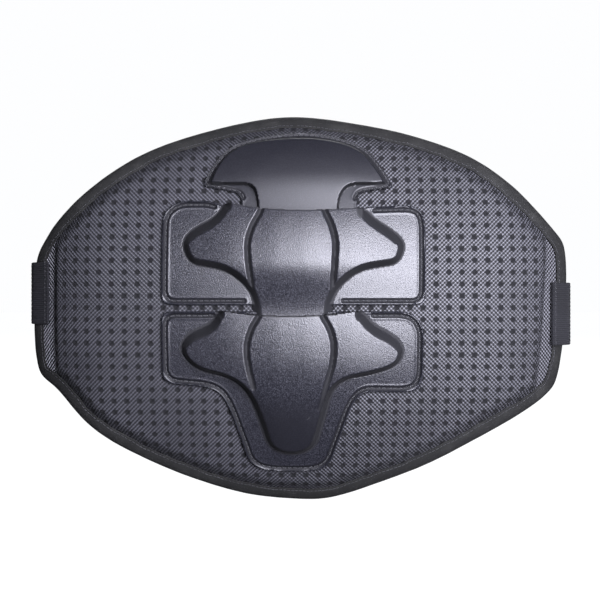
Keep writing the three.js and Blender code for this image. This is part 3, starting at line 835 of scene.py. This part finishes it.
def end_distance(x, z):
    """Distance in from the panel's short ends."""
    low, high = BOTTOM_EDGE[-1], TOP_EDGE[-1]
    left = x - TOP_EDGE[0][0] + END_BULGE
    up = np.clip((z - low[1]) / (high[1] - low[1]), 0, 1)
    return np.minimum(left, lerp(low[0], high[0], up) + END_BULGE - x)


def smooth_rise(distance, start, width):
    t = np.clip((distance - start) / width, 0, 1)
    return np.sin(t * math.pi / 2) ** 1.3


def pad_thickness(x, z):
    """The panel swells from its taped edge to full thickness. The ends swell later, past a
    flat strip beside the tape."""
    rim = smooth_rise(edge_distance(x, z), *PAD_RIM)
    ends = smooth_rise(end_distance(x, z), *PAD_END)
    return EDGE_THICK + (PANEL_THICK - EDGE_THICK) * np.minimum(rim, ends)


def inner_cells(inside):
    """The cells of a grid with all four corners inside."""
    return inside[:-1, :-1] & inside[1:, :-1] & inside[1:, 1:] & inside[:-1, 1:]


PAD_STEP = 6.0
PAD_PRESSURE = 4.0
PAD_CAP = 2.4                       # how far the padding may move out
PAD_SLACK = 0.5                     # the study starts this much slimmer on each face
PAD_HELD_EDGE = 9
PAD_FRAMES = 20


def simulate_pad():
    """Blows the padded panel up as cloth, held along its taped edge, under its plates and at
    its strap ends. Returns how far the front and the back move out, on an even grid."""
    xs = np.arange(-216, 229, PAD_STEP)
    zs = np.arange(-168, 157, PAD_STEP)
    grid_x, grid_z = np.meshgrid(xs, zs, indexing="ij")
    shape = grid_x.shape
    quads, used = grid_quads(inner_cells(edge_distance(grid_x, grid_z) > 1))
    x, z = grid_x.ravel()[used], grid_z.ravel()[used]
    front = np.stack([x, back_face(x, z) - pad_thickness(x, z) + PAD_SLACK, z], 1)
    back = np.stack([x, back_face(x, z) - PAD_SLACK, z], 1)
    points, faces = closed_sheet(front, back, quads)
    pad = new_piece("pad_study", points, faces, LOOKS["foam"])
    edge_held = edge_distance(x, z) < PAD_HELD_EDGE
    front_held = edge_held | (plate_distance(x, z) < 3)
    strap_held = np.zeros(len(x), bool)
    for strap in STRAPS.values():
        near_end = np.abs(x - strap["side"] * (strap["fold"] - 27)) < 20
        strap_held |= near_end & (np.abs(z - strap["z"]) < 26)
    held = np.concatenate([front_held, edge_held | strap_held])
    group = pad.vertex_groups.new(name="held")
    group.add(np.nonzero(held)[0].tolist(), 1.0, "REPLACE")
    cloth = pad.modifiers.new("cloth", "CLOTH")
    cloth.settings.vertex_group_mass = "held"
    cloth.settings.use_pressure = True
    cloth.settings.uniform_pressure_force = PAD_PRESSURE
    cloth.settings.effector_weights.gravity = 0
    cloth.point_cache.frame_end = PAD_FRAMES
    for number in range(1, PAD_FRAMES + 1):
        scene.frame_set(number)
    blown = pad.evaluated_get(bpy.context.evaluated_depsgraph_get()).data
    moved = np.empty(len(blown.vertices) * 3)
    blown.vertices.foreach_get("co", moved)
    moved = moved.reshape(-1, 3)[:, 1] / MM - points[:, 1]
    scene.frame_set(1)
    bpy.data.objects.remove(pad)
    fields = np.zeros((2, *shape))
    for field, out in zip(fields, (-moved[:len(x)], moved[len(x):])):
        field.ravel()[used] = PAD_CAP * np.tanh(out / PAD_CAP)
    return xs, zs, *fields


PAD_X, PAD_Z, FRONT_PUFF, BACK_PUFF = simulate_pad()


def front_face(x, z):
    """The cover's outer face: puffed between the plates and the taped edge."""
    free = smooth((plate_distance(x, z) - 1) / 7) * smooth((edge_distance(x, z) - 7) / 8)
    puff = bilinear(PAD_X, PAD_Z, FRONT_PUFF, x, z) * free
    return back_face(x, z) - pad_thickness(x, z) - puff


def lining_face(x, z):
    """The lining's wearer-side face."""
    free = smooth((edge_distance(x, z) - 7) / 8)
    return back_face(x, z) + 0.6 * bilinear(PAD_X, PAD_Z, BACK_PUFF, x, z) * free


# The panel's length along its curled ends, against x.
ARC_STEP = 0.25
ARC_X = np.linspace(-260, 260, 2081)
arc = np.concatenate(
    [[0], np.cumsum(np.hypot(1, curl_slope(ARC_X[1:] - ARC_STEP / 2)) * ARC_STEP)])
ARC = arc - np.interp(0, ARC_X, arc)


def hole_lines(pitch, offsets, first, low, high):
    """Grid lines that fall on each row of holes and close round it."""
    rows = np.arange(math.floor((low - first) / pitch), math.ceil((high - first) / pitch) + 1)
    lines = (first + rows[:, None] * pitch + np.array(offsets)[None, :]).ravel()
    return lines[(lines >= low) & (lines <= high)]


def half_grid(side, across, up, inset):
    """The grid points of one half of the panel and the quads within its edge."""
    near = across[(across * side) > 1e-6]
    columns = np.sort(np.concatenate([[0.0], near]))
    x = np.interp(columns, ARC, ARC_X)
    grid_x, grid_z = np.meshgrid(x, up, indexing="ij")
    grid_u = np.meshgrid(columns, up, indexing="ij")[0]
    quads, used = grid_quads(inner_cells(edge_distance(grid_x, grid_z) > inset))
    return grid_x.ravel()[used], grid_z.ravel()[used], grid_u.ravel()[used], quads


def across_hinge(piece):
    """Bakes the piece's placement into its mesh."""
    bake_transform(piece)


fine_x = hole_lines(HOLE_PITCH_X, [-4.95, -3.1, -2.1, -1.15, 0, 1.15, 2.1, 3.1], 0, -262, 262)
fine_z = hole_lines(HOLE_PITCH_Z, [-4.525, -3.0, -2.1, -1.15, 0, 1.15, 2.1, 3.0],
                    FIRST_HOLE_Z, -172, 156)
coarse_x = np.arange(-262, 263, 2.5)
coarse_z = np.arange(-172, 157, 2.5)
# Each half's cloth: its flat size and area in metres, and how strong the painted highlight on its
# end strip is.
HALVES = {
    "left": {"flat": (0.222, 0.322), "area": 0.0517, "strip": 0.9},
    "right": {"flat": (0.230, 0.322), "area": 0.0537, "strip": 0.25},
}
DIP_RADIUS = 2.5

for side_name, half in HALVES.items():
    side = STRAPS[side_name]["side"]
    x, z, u, quads = half_grid(side, fine_x, fine_z, 2.5)
    fade = 1 - smooth((end_distance(x, z) - 19) / 3)
    off_x = (u + HOLE_PITCH_X / 2) % HOLE_PITCH_X - HOLE_PITCH_X / 2
    off_z = (z - FIRST_HOLE_Z + HOLE_PITCH_Z / 2) % HOLE_PITCH_Z - HOLE_PITCH_Z / 2
    dip = 0.5 + 0.5 * np.cos(np.clip(np.hypot(off_x, off_z) / DIP_RADIUS, 0, 1) * math.pi)
    face = front_face(x, z) + HOLE_DEPTH * dip * (1 - fade)
    points, faces = closed_sheet(np.stack([x, face, z], 1),
                                 np.stack([x, face + COVER_THICK, z], 1), quads)
    # Painted light laid on the mesh by place: shade over the left half, and a quadrant highlight
    # bias that weakens to the right.
    rightward = smooth((x + 60) / 120)
    painted_glint_bias = np.tanh(x * z / 2500) * lerp(0.75, 0.2, rightward)
    cover = made_of("mesh_fabric", f"mesh_cover_{side_name}", points, faces,
                    uv=np.tile(np.stack([u, z], 1), (2, 1)),
                    values={"flat_edge": fade, "painted_glint_bias": painted_glint_bias, "left_shade": 1 - rightward,
                            "end_strip_highlight": fade * half["strip"]})
    across_hinge(cover)
    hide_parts(f"outer_cover_{side_name}", "outer_cover_centre")

    x, z, u, quads = half_grid(side, coarse_x, coarse_z, 3.5)
    inner = front_face(x, z) + COVER_THICK + HOLE_DEPTH + CORE_CLEARANCE
    outer = lining_face(x, z) - LINING_THICK - CORE_CLEARANCE
    inner = np.minimum(inner, outer - 0.5)
    points, faces = closed_sheet(np.stack([x, inner, z], 1), np.stack([x, outer, z], 1), quads)
    core = made_of("foam", f"pad_core_{side_name}", points, faces)
    across_hinge(core)
    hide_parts(f"foam_core_{side_name}", "foam_core_centre")

    back = lining_face(x, z)
    points, faces = closed_sheet(np.stack([x, back - LINING_THICK, z], 1),
                                 np.stack([x, back, z], 1), quads)
    lining = made_of("lining_fabric", f"back_lining_{side_name}", points, faces,
                     uv=np.tile(np.stack([u, z], 1), (2, 1)))
    across_hinge(lining)
    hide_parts(f"lining_{side_name}", "lining_centre")

# ------------------------------------------------------------------ edge binding
# The tape's section: (distance in from the panel's edge, depth behind the lining's face),
# round its outside from the front lip to the back lip, then back along its inside.
BINDING_OUTSIDE = [
    (9.3, -6.35), (9.1, -6.8), (8.4, -7.1), (7.2, -6.85), (6.0, -7.12), (3.4, -7.2),
    (1.4, -7.1), (0.2, -6.75), (-0.8, -6.1), (-1.6, -5.1), (-2.05, -3.8), (-2.15, -2.5),
    (-2.05, -1.1), (-1.6, 0.2), (-0.8, 1.1), (0.2, 1.7), (1.6, 2.0), (3.6, 2.1), (6.0, 2.05),
    (7.2, 1.8), (8.4, 1.95), (9.1, 1.6), (9.3, 1.1),
]
BINDING_INSIDE = [
    (9.0, 0.8), (4.5, 0.85), (0.4, 0.75), (-0.7, 0.1), (-1.0, -2.5), (-0.7, -5.0),
    (0.4, -5.6), (4.5, -5.8), (9.0, -5.9),
]
TAPE_STITCH_INSET = 7.2
TAPE_STITCH_PITCH = 3.4


def edge_run(side):
    """Edge points of one half, from x = 0 at one edge round the end to x = 0 at the other,
    with their inward directions and distances along."""
    along = np.roll(OUTLINE, -1, 0) - np.roll(OUTLINE, 1, 0)
    along /= np.linalg.norm(along, axis=1)[:, None]
    table = np.hstack([OUTLINE, np.stack([-along[:, 1], along[:, 0]], 1)])
    run, first = kept_run(table, table[:, 0] * side > 0)
    crossings = []
    for before in (first - 1, first + len(run) - 1):
        a, b = table[before % len(table)], table[(before + 1) % len(table)]
        z = lerp(a[1], b[1], a[0] / (a[0] - b[0]))
        crossings.append([0, z, 0, -np.sign(z)])
    run = np.vstack([crossings[0], run, crossings[1]])
    return run[:, :2], run[:, 2:], lengths_along(run[:, :2])


def tape_point(point, inward, reach, depth):
    """A point of the tape: reach in from the edge, depth behind the lining's face."""
    place = point + inward * np.reshape(reach, (-1, 1))
    y = back_face(place[:, 0], place[:, 1]) + depth
    return np.stack([place[:, 0], y, place[:, 1]], 1)


section = np.array(BINDING_OUTSIDE + BINDING_INSIDE)
section_round = lengths_along(section)
for side_name, strap in STRAPS.items():
    side = strap["side"]
    point, inward, distance = edge_run(side)
    wobble = (0.30 * np.sin(distance / 9.1 + side) + 0.22 * np.sin(distance / 4.3 + 1.7)
              + 0.18 * np.sin(distance / 2.3))
    wobble *= smooth(distance / 12) * smooth((distance[-1] - distance) / 12)
    rings = []
    for k, (reach, depth) in enumerate(section):
        lip = smooth((reach - 2) / 4)
        swell = np.sign(depth + 2.5) * 0.35 * wobble * (1 - 0.5 * lip)
        rings.append(tape_point(point, inward, reach + lip * wobble, depth + swell))
    points, faces = swept(np.stack(rings, 1))
    uv = np.stack(np.broadcast_arrays(distance[:, None], section_round[None, :]), 2)
    tape = made_of("binding_tape", f"edge_tape_{side_name}", points, faces,
                   uv=uv.reshape(-1, 2), sharp=70)
    across_hinge(tape)
    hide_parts(f"binding_{side_name}", "binding_top", "binding_bottom")

    stitch_at = np.arange(TAPE_STITCH_PITCH / 2, distance[-1] - 1, TAPE_STITCH_PITCH)
    centres, directions = [], []
    for depth, lift in ((-6.85, -0.05), (1.8, 0.05)):
        line = tape_point(point, inward, TAPE_STITCH_INSET + wobble, depth + lift)
        here = sample(line, distance, stitch_at)
        centres.append(here)
        directions.append(sample(line, distance, stitch_at + 0.5) - here)
    seam = thread_piece(f"edge_tape_seam_{side_name}", np.vstack(centres),
                        np.vstack(directions), 2.5, 0.28)
    across_hinge(seam)


# ------------------------------------------------------------------ plates
def stitch_run(plate, inset, keep):
    """The line that a run of stitching follows, as an open path."""
    rim = even(corner_path(inset_outline(PLATES[plate]["flange"], inset)), 1.0, closed=True)
    return kept_run(rim, keep(rim[:, 0], rim[:, 1]))[0]


STITCH_RUNS = {name: stitch_run(*spec) for name, spec in STITCHING.items()}
PLATE_BACK = PANEL_THICK + PLATE_GAP


def pod_top(spec, x, z):
    """Height of a pod's face above the flange's back: crowned, fuller between its grooves,
    drooping towards the wings' tips and down to its neck."""
    w = 2 * (z - spec["low"] + 2) / (spec["high"] - spec["low"] + 4) - 1
    dome = CROWN * (1 - (x / 112) ** 2) * np.clip(1 - w**2, 0, 1)
    top = spec["height"] + dome
    if spec["grooves"]:
        top = top + 0.9 * smooth((34 - np.abs(x + 1)) / 26)
        top = top - 2.6 * smooth((np.abs(x) - 40) / 55)
    else:
        top = top - 1.6 * smooth((np.hypot(x - 4, (z - 92) * 1.5) - 30) / 50)
    if spec["low"] < -100:
        top = top - 6.5 * smooth((-42 - z) / 92) - 2.6 * smooth((-60 - z) / 30) * (x / 26) ** 2
    if spec["neck"]:
        start, rise, height = spec["neck"]
        top = lerp(height, top, smooth((z - start) / rise))
    return top


def in_mouth(spec, x, z):
    """1 in the strip where the neck above runs in under the pod's top edge."""
    if not spec["mouth"]:
        return 0 * x
    x0, x1, z0 = spec["mouth"]
    return smooth((x - x0 + 2) / 2) * smooth((x1 + 2 - x) / 2) * smooth((z - z0 + 1) / 2)


def steep_wall(distance, width):
    """A straight steep wall with a small round at its shoulder."""
    t = np.clip(distance / width, 0, 1 + WALL_ROUND)
    shoulder = 1 - (1 + WALL_ROUND - t) ** 2 / (4 * WALL_ROUND)
    return np.where(t > 1 - WALL_ROUND, shoulder, t)


def walled_outline(path, top_edge):
    """The pod's outline without its cut top edge, where its face runs straight out."""
    if not top_edge:
        return np.vstack([path, path[:1]])
    path = even(path, 1.0, closed=True)
    x0, x1, z0 = top_edge
    cut = (path[:, 0] > x0) & (path[:, 0] < x1) & (path[:, 1] > z0)
    return kept_run(path, ~cut)[0]


def ridge(distance, shape):
    """The height of a rounded ridge that runs a set distance in from a line."""
    return shape["height"] * np.exp(-(((distance - shape["inset"]) / shape["width"]) ** 2))


def closest_gap(paths, points):
    """Distance from each point to the nearest of some open paths."""
    gaps = [nearest(path, points, closed=False)[0] for path in paths]
    return np.min(gaps, axis=0) if gaps else np.full(len(points), 99.0)


for name, spec in PLATES.items():
    flange_path, pod_path = FLANGE_PATHS[name], POD_PATHS[name]
    both = np.vstack([flange_path, pod_path])
    low, high = both.min(0) - 2 * PLATE_STEP, both.max(0) + 2 * PLATE_STEP
    xs = np.arange(low[0], high[0], PLATE_STEP)
    zs = np.arange(low[1], high[1], PLATE_STEP)
    grid = np.stack(np.meshgrid(xs, zs, indexing="ij"), 2)
    flat = grid.reshape(-1, 2)
    to_flange, flange_foot = nearest(flange_path, flat)
    to_pod, pod_foot = nearest(pod_path, flat)
    walled = walled_outline(pod_path, spec["top_edge"])
    to_wall, wall_foot = nearest(walled, flat, closed=False)
    outside = np.minimum(to_flange, to_pod)
    foot = np.where((to_flange < to_pod)[:, None], flange_foot, pod_foot)
    inside = (outside < 0).reshape(grid.shape[:2])
    keep = (inside[:-1, :-1] | inside[1:, :-1] | inside[1:, 1:] | inside[:-1, 1:])
    quads, used = grid_quads(keep)
    place = np.where((outside > 0)[:, None], foot, flat)[used]
    rim = np.maximum(-to_flange[used], 0)
    pod = -to_pod[used]
    x, z = place.T
    within = to_wall[used] * (pod > 0)
    outward = (wall_foot[used, 1] - flat[used, 1]) / np.maximum(to_wall[used], 0.05)
    wall_width = spec["wall"] * (
        1 + 0.42 * np.clip(outward, 0, 1) + 0.28 * np.clip(outward, -1, 0))

    runs = [run for key, run in STITCH_RUNS.items() if STITCHING[key][0] == name]
    seam_gap = closest_gap(runs, place)
    bead = ridge(rim, BEAD) * (rim > 0)
    lip = ridge(seam_gap, LIP)
    sewn = SEWN_GROOVE["depth"] * np.exp(-((seam_gap / SEWN_GROOVE["width"]) ** 4))
    turned = 1 - np.clip(rim / RIM_ROUND, 0, 1)
    edge_round = RIM_ROUND * (1 - np.sqrt(np.clip(1 - turned**2, 0, 1)))
    narrow = 0.4 if name == "top" else 1.0
    flange = FLANGE_THICK + (bead + lip) * narrow - sewn - edge_round
    flange = np.where(to_flange[used] > 0, 0, flange)

    groove_gap = closest_gap([curve_through(line) for line in spec["grooves"]], place)
    moulded = 1 - np.clip(groove_gap / GROOVE_HALF_WIDTH, 0, 1)
    if name == "lower":
        moulded = moulded * (1 - 0.85 * smooth((-44 - z) / 34))
    if name == "middle":
        moulded = moulded * smooth((z - 2) / 14)

    mouth = in_mouth(spec, x, z)
    wall = steep_wall(within, wall_width)
    top = pod_top(spec, x, z)
    open_edge = np.maximum(wall, mouth * (1 - 0.14 * (1 - np.clip(pod / 1.5, 0, 1)) ** 2))
    raised = top * open_edge - GROOVE_DEPTH * moulded * (wall > 0.9)
    on_pod = pod > 0
    height = np.where(on_pod, np.maximum(raised, np.maximum(flange, 0)), flange)
    height = np.where(on_pod | (to_flange[used] <= 0), height, 0)
    hollow = np.maximum(top - SHELL_WALL - 3 * (1 - wall) * (1 - mouth), 0)
    room = np.where((within > spec["wall"] * 0.6) | (mouth > 0.5), hollow, 0)
    under = np.minimum(room, np.where(mouth > 0.5, MOUTH_HEIGHT, POD_ROOM))
    under = np.minimum(under, np.maximum(height - LEAST_SHELL, 0))

    smooth_wall = (1 - smooth((within / wall_width - 1.02) / 0.12)) * (pod > -0.3)
    in_groove = np.clip(moulded * 6, 0, 1)
    in_sewn = np.exp(-((seam_gap / 1.9) ** 4))
    # Painted shade line: a strip along the pod's open edge over the mouth gets the dark recess
    # colour.
    mouth_edge_shade = np.exp(-((np.maximum(pod, 0) / EDGE_TURN) ** 4)) * (mouth > 0.5) * on_pod
    # recess marks the smooth walls, grooves and sewn groove, which the material paints darker as
    # shade.
    recess = np.maximum(np.maximum(smooth_wall, in_groove), np.maximum(in_sewn, mouth_edge_shade))
    sand = spec["sand"] * (1 - recess) * (1 - 0.8 * smooth((-62 - z) / 34) * (within > 0))
    scuffed = np.zeros(len(x))
    if name == "lower":
        for cx, cz, size in SCUFFS:
            scuffed = np.maximum(scuffed, np.exp(-((x - cx) ** 2 + (z - cz) ** 2) / size**2))
    base = bow(z) - PLATE_BACK
    front = np.stack([x, base - height, z], 1)
    back = np.stack([x, base - under, z], 1)
    points, faces = closed_sheet(front, back, quads)
    plate = made_of("plate_plastic", f"{name}_shell", points, faces, sharp=58,
                    values={"sand": sand, "recess": recess, "scuffed": scuffed})
    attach(plate, "panel")
    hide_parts(f"{name}_plate")

    pad_keep = (pod > spec["wall"] + 1.0) & (mouth < 0.01)
    if spec["neck"]:
        pad_keep &= z > spec["neck"][0] + spec["neck"][1] * 0.6
    numbers, block = np.unique(quads[pad_keep[quads].all(1)], return_inverse=True)
    pad_front = np.stack([x, base - np.maximum(under - 0.5, 0.4), z], 1)[numbers]
    pad_back = np.stack([x, base - 0.1, z], 1)[numbers]
    points, faces = closed_sheet(pad_front, pad_back, block.reshape(-1, 4))
    filling = made_of("foam", f"{name}_pod_filling", points, faces)
    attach(filling, "panel")
    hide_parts(f"{name}_pod_pad")


# ------------------------------------------------------------------ stitching in the plates
PLATE_STITCH_PITCH = 4.2
for run_name, run in STITCH_RUNS.items():
    distance = lengths_along(run)
    at = np.arange(PLATE_STITCH_PITCH / 2, distance[-1], PLATE_STITCH_PITCH)
    x, z = sample(run, distance, at).T
    step = sample(run, distance, at + 0.4) - sample(run, distance, at - 0.4)
    y = bow(z) - PLATE_BACK - (FLANGE_THICK - SEWN_GROOVE["depth"]) - 0.30
    slope = (bow(z + 0.5) - bow(z - 0.5)) * step[:, 1]
    stitches = thread_piece(run_name.replace("stitching", "lockstitch"),
                            np.stack([x, y, z], 1),
                            np.stack([step[:, 0], slope, step[:, 1]], 1), 3.3, 0.45, sides=8)
    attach(stitches, "panel")
    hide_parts(run_name)


# ------------------------------------------------------------------ straps
def strap_rise(strap):
    """The strap lies flat across its width, against the lining's highest line."""
    return float(bow(abs(strap["z"]) + STRAP_WIDTH / 2))


def sewn_down(strap, x):
    """How much nearer the lining a strap's sewn end lies than the rest of it."""
    return 1.7 * (1 - smooth((x - strap["fold"] + 34) / 20))


def strap_line(strap, x, depth):
    """Middle line of a strap layer, in plan: x (unsigned) to signed x and y."""
    signed = strap["side"] * x
    y = curl(signed) + strap_rise(strap) + depth + 1.2
    return np.stack([signed, y], 1)


def ribbon(line, middle_z, width, thick, rib):
    """Stations of a flat band along a plan line: ribbed faces and rounded selvedges."""
    along = np.gradient(line, axis=0)
    along /= np.linalg.norm(along, axis=1)[:, None]
    normal = np.stack([-along[:, 1], along[:, 0]], 1)
    distance = lengths_along(line)
    reach = np.linspace(-1, 1, 67) * (width / 2 - 0.05)
    selvedge = np.sqrt(np.clip(1 - np.clip((np.abs(reach) - width / 2 + 1) / 1, 0, 1) ** 2, 0, 1))
    half = (thick / 2 - rib + rib * np.cos(2 * math.pi * reach / RIB_PITCH)) * selvedge
    z = np.concatenate([reach, reach[::-1]])
    off = np.concatenate([half, -half[::-1]])
    stations = np.empty((len(line), len(z), 3))
    stations[:, :, 0] = line[:, None, 0] + normal[:, None, 0] * off[None, :]
    stations[:, :, 1] = line[:, None, 1] + normal[:, None, 1] * off[None, :]
    stations[:, :, 2] = middle_z + z[None, :]
    uv = np.stack(np.broadcast_arrays(distance[:, None], z[None, :]), 2).reshape(-1, 2)
    return stations, uv, distance[-1]


def strap_piece(name, line, strap, width=STRAP_WIDTH, thick=STRAP_THICK, slot="strap_elastic",
                rib=0.10):
    """A flat band along a plan line at the strap's height, and its length."""
    stations, uv, length = ribbon(line, strap["z"], width, thick, rib)
    return made_of(slot, name, *swept(stations), uv=uv, sharp=60), length


def fold_line(start, end, out, bulge):
    """A U bend in plan from start to end, leaving along out and coming back against it."""
    across = end - start
    lead = max(float(across @ out), 0.0)
    a, b = start + out * (bulge + lead), end + out * (bulge + max(-float(across @ out), 0.0))
    t = np.linspace(0, 1, 19)[:, None]
    return (1 - t) ** 3 * start + 3 * t * (1 - t) ** 2 * a + 3 * t * t * (1 - t) * b + t**3 * end


def strap_fold(name, strap, x, layers, outward):
    """The bend that joins two layers of a strap, which belong to two bodies."""
    tangent = np.array([outward * strap["side"], outward * strap["side"]
                        * float(curl_slope(np.float64(strap["side"] * x)))])
    tangent /= np.linalg.norm(tangent)
    ends = [strap_line(strap, np.array([x]), STRAP_FIRST_DEPTH + n * STRAP_LAYER_STEP)[0]
            for n in layers]
    line = fold_line(ends[0], ends[1], tangent, 2.4)
    piece, length = strap_piece(name, line, strap)
    across = np.array([-tangent[1], tangent[0]])
    across *= np.sign(across @ (ends[1] - ends[0]))
    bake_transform(piece)
    return piece, length


def patch_points(strap, line, width, pitch):
    """Even points over a patch's back, with the outward direction at each."""
    spots = even(line, pitch)[1:-1]
    along = np.gradient(spots, axis=0)
    along /= np.linalg.norm(along, axis=1)[:, None]
    normal = np.stack([-along[:, 1], along[:, 0]], 1)
    normal *= np.sign(normal[:, 1:2])
    rows = np.arange(-width / 2 + 1.4, width / 2 - 1, pitch)
    stagger = (np.arange(len(spots)) % 2) * pitch / 2
    centres, up = [], []
    for row in rows:
        z = strap["z"] + row + stagger
        centres.append(np.stack([spots[:, 0], spots[:, 1], z], 1))
        up.append(np.stack([normal[:, 0], normal[:, 1], 0 * z], 1))
    return np.vstack(centres), np.vstack(up)


for side_name, strap in STRAPS.items():
    side, fold = strap["side"], strap["fold"]
    wing, base, tip = f"wing_{side_name}", f"strap_{side_name}", f"strap_tip_{side_name}"

    x = np.linspace(fold - ANCHOR_LENGTH, fold, 34)
    line = strap_line(strap, x, STRAP_FIRST_DEPTH - sewn_down(strap, x))
    anchor, anchor_length = strap_piece(f"strap_end_{side_name}", line, strap)
    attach(anchor, wing)
    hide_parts(f"strap_anchor_{side_name}")

    box_x = fold - ANCHOR_LENGTH + BOX_STITCH_CENTRE
    w, h = BOX_STITCH_HALF
    outline = [(-w, -h), (w, -h), (w, h), (-w, h), (-w, -h), (w, h), (w, -h), (-w, h)]
    centres, directions = [], []
    for a, b in zip(outline[:-1], outline[1:]):
        row = even(np.array([a, b], float), 2.9)
        across, up = ((row[1:] + row[:-1]) / 2).T
        x = box_x + across
        spot = strap_line(strap, x, STRAP_FIRST_DEPTH - sewn_down(strap, x) + 0.95)
        centres.append(np.stack([spot[:, 0], spot[:, 1], strap["z"] + up], 1))
        step = np.subtract(b, a) / math.dist(a, b)
        slope = curl_slope(spot[:, 0]) * side * step[0]
        directions.append(np.stack([0 * slope + side * step[0], slope, 0 * slope + step[1]], 1))
    box = thread_piece(f"strap_box_stitch_{side_name}", np.vstack(centres),
                       np.vstack(directions), 2.3, 0.32)
    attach(box, wing)
    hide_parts(f"anchor_stitching_{side_name}")

    turn_x = strap["lap"]
    turn_y = float(curl(np.float64(side * turn_x)))
    route = curve_through([
        *[(turn_x - back, float(curl(np.float64(side * (turn_x - back)))) - LAP_DEPTH)
          for back in (LAP_LENGTH, LAP_LENGTH / 2, 3.5)],
        (turn_x, turn_y - 6),
        (turn_x + 0.3, turn_y - 0.5),
        (turn_x, strap_line(strap, np.array([turn_x]), STRAP_FIRST_DEPTH)[0, 1] - 2.6),
    ])
    lap, lap_length = strap_piece(f"strap_front_lap_{side_name}", route * [side, 1], strap)
    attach(lap, wing)
    rows = np.arange(-STRAP_WIDTH / 2 + 2, STRAP_WIDTH / 2 - 1, 3.1)
    lap_x = side * (turn_x - LAP_LENGTH + 3) + 0 * rows
    centres = np.stack([lap_x, curl(lap_x) - LAP_DEPTH - 0.95, strap["z"] + rows], 1)
    upright = np.tile([[0, 0, 1.0]], (len(rows), 1))
    lap_seam = thread_piece(f"strap_lap_stitch_{side_name}", centres, upright, 2.3, 0.3)
    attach(lap_seam, wing)

    x = np.linspace(FOLD_INNER_X, fold, 60)
    ripple = 0.18 * np.sin((x - FOLD_INNER_X) / 11)
    line = strap_line(strap, x, STRAP_FIRST_DEPTH + STRAP_LAYER_STEP + ripple
                      * smooth((fold - x) / 15) * smooth((x - FOLD_INNER_X) / 15))
    inner, inner_length = strap_piece(f"strap_first_length_{side_name}", line, strap)
    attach(inner, base)
    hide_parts(f"strap_inner_{side_name}")

    x = np.linspace(FOLD_INNER_X, fold - STRAP_TIP_SHORT, 56)
    line = strap_line(strap, x, STRAP_FIRST_DEPTH + 2 * STRAP_LAYER_STEP)
    outer, outer_length = strap_piece(f"strap_second_length_{side_name}", line, strap)
    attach(outer, tip)
    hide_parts(f"strap_outer_{side_name}")

    root_fold, root_length = strap_fold(
        f"strap_root_fold_{side_name}", strap, fold, (0, 1), 1)
    turn_fold, turn_length = strap_fold(
        f"strap_turn_fold_{side_name}", strap, FOLD_INNER_X, (1, 2), -1)

    x = np.linspace(fold - PATCH_SPAN[0], fold - PATCH_SPAN[1], 34)
    patch_line = strap_line(strap, x, STRAP_FIRST_DEPTH + 2 * STRAP_LAYER_STEP + 2.1)
    patch, patch_length = strap_piece(strap["patch"] + "_pile", patch_line, strap,
                                      width=PATCH_WIDTH, thick=1.3, slot="hook_and_loop",
                                      rib=0.0)
    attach(patch, tip)
    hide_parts(strap["patch"])
    centres, up = patch_points(strap, patch_line, PATCH_WIDTH - 2, 1.9)
    if side_name == "left":
        points, faces = capsules(centres + up * 0.85, up, 1.3, 0.26, sides=6)
    else:
        sway = np.stack([np.sin(centres[:, 0] * 2.1), 0 * centres[:, 0],
                         np.cos(centres[:, 2] * 1.7)], 1)
        points, faces = capsules(centres + up * 0.6, up * 0.35 + sway, 1.9, 0.42, sides=6)
    pile = made_of("hook_and_loop", strap["patch"] + "_tufts", points, faces)
    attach(pile, tip)
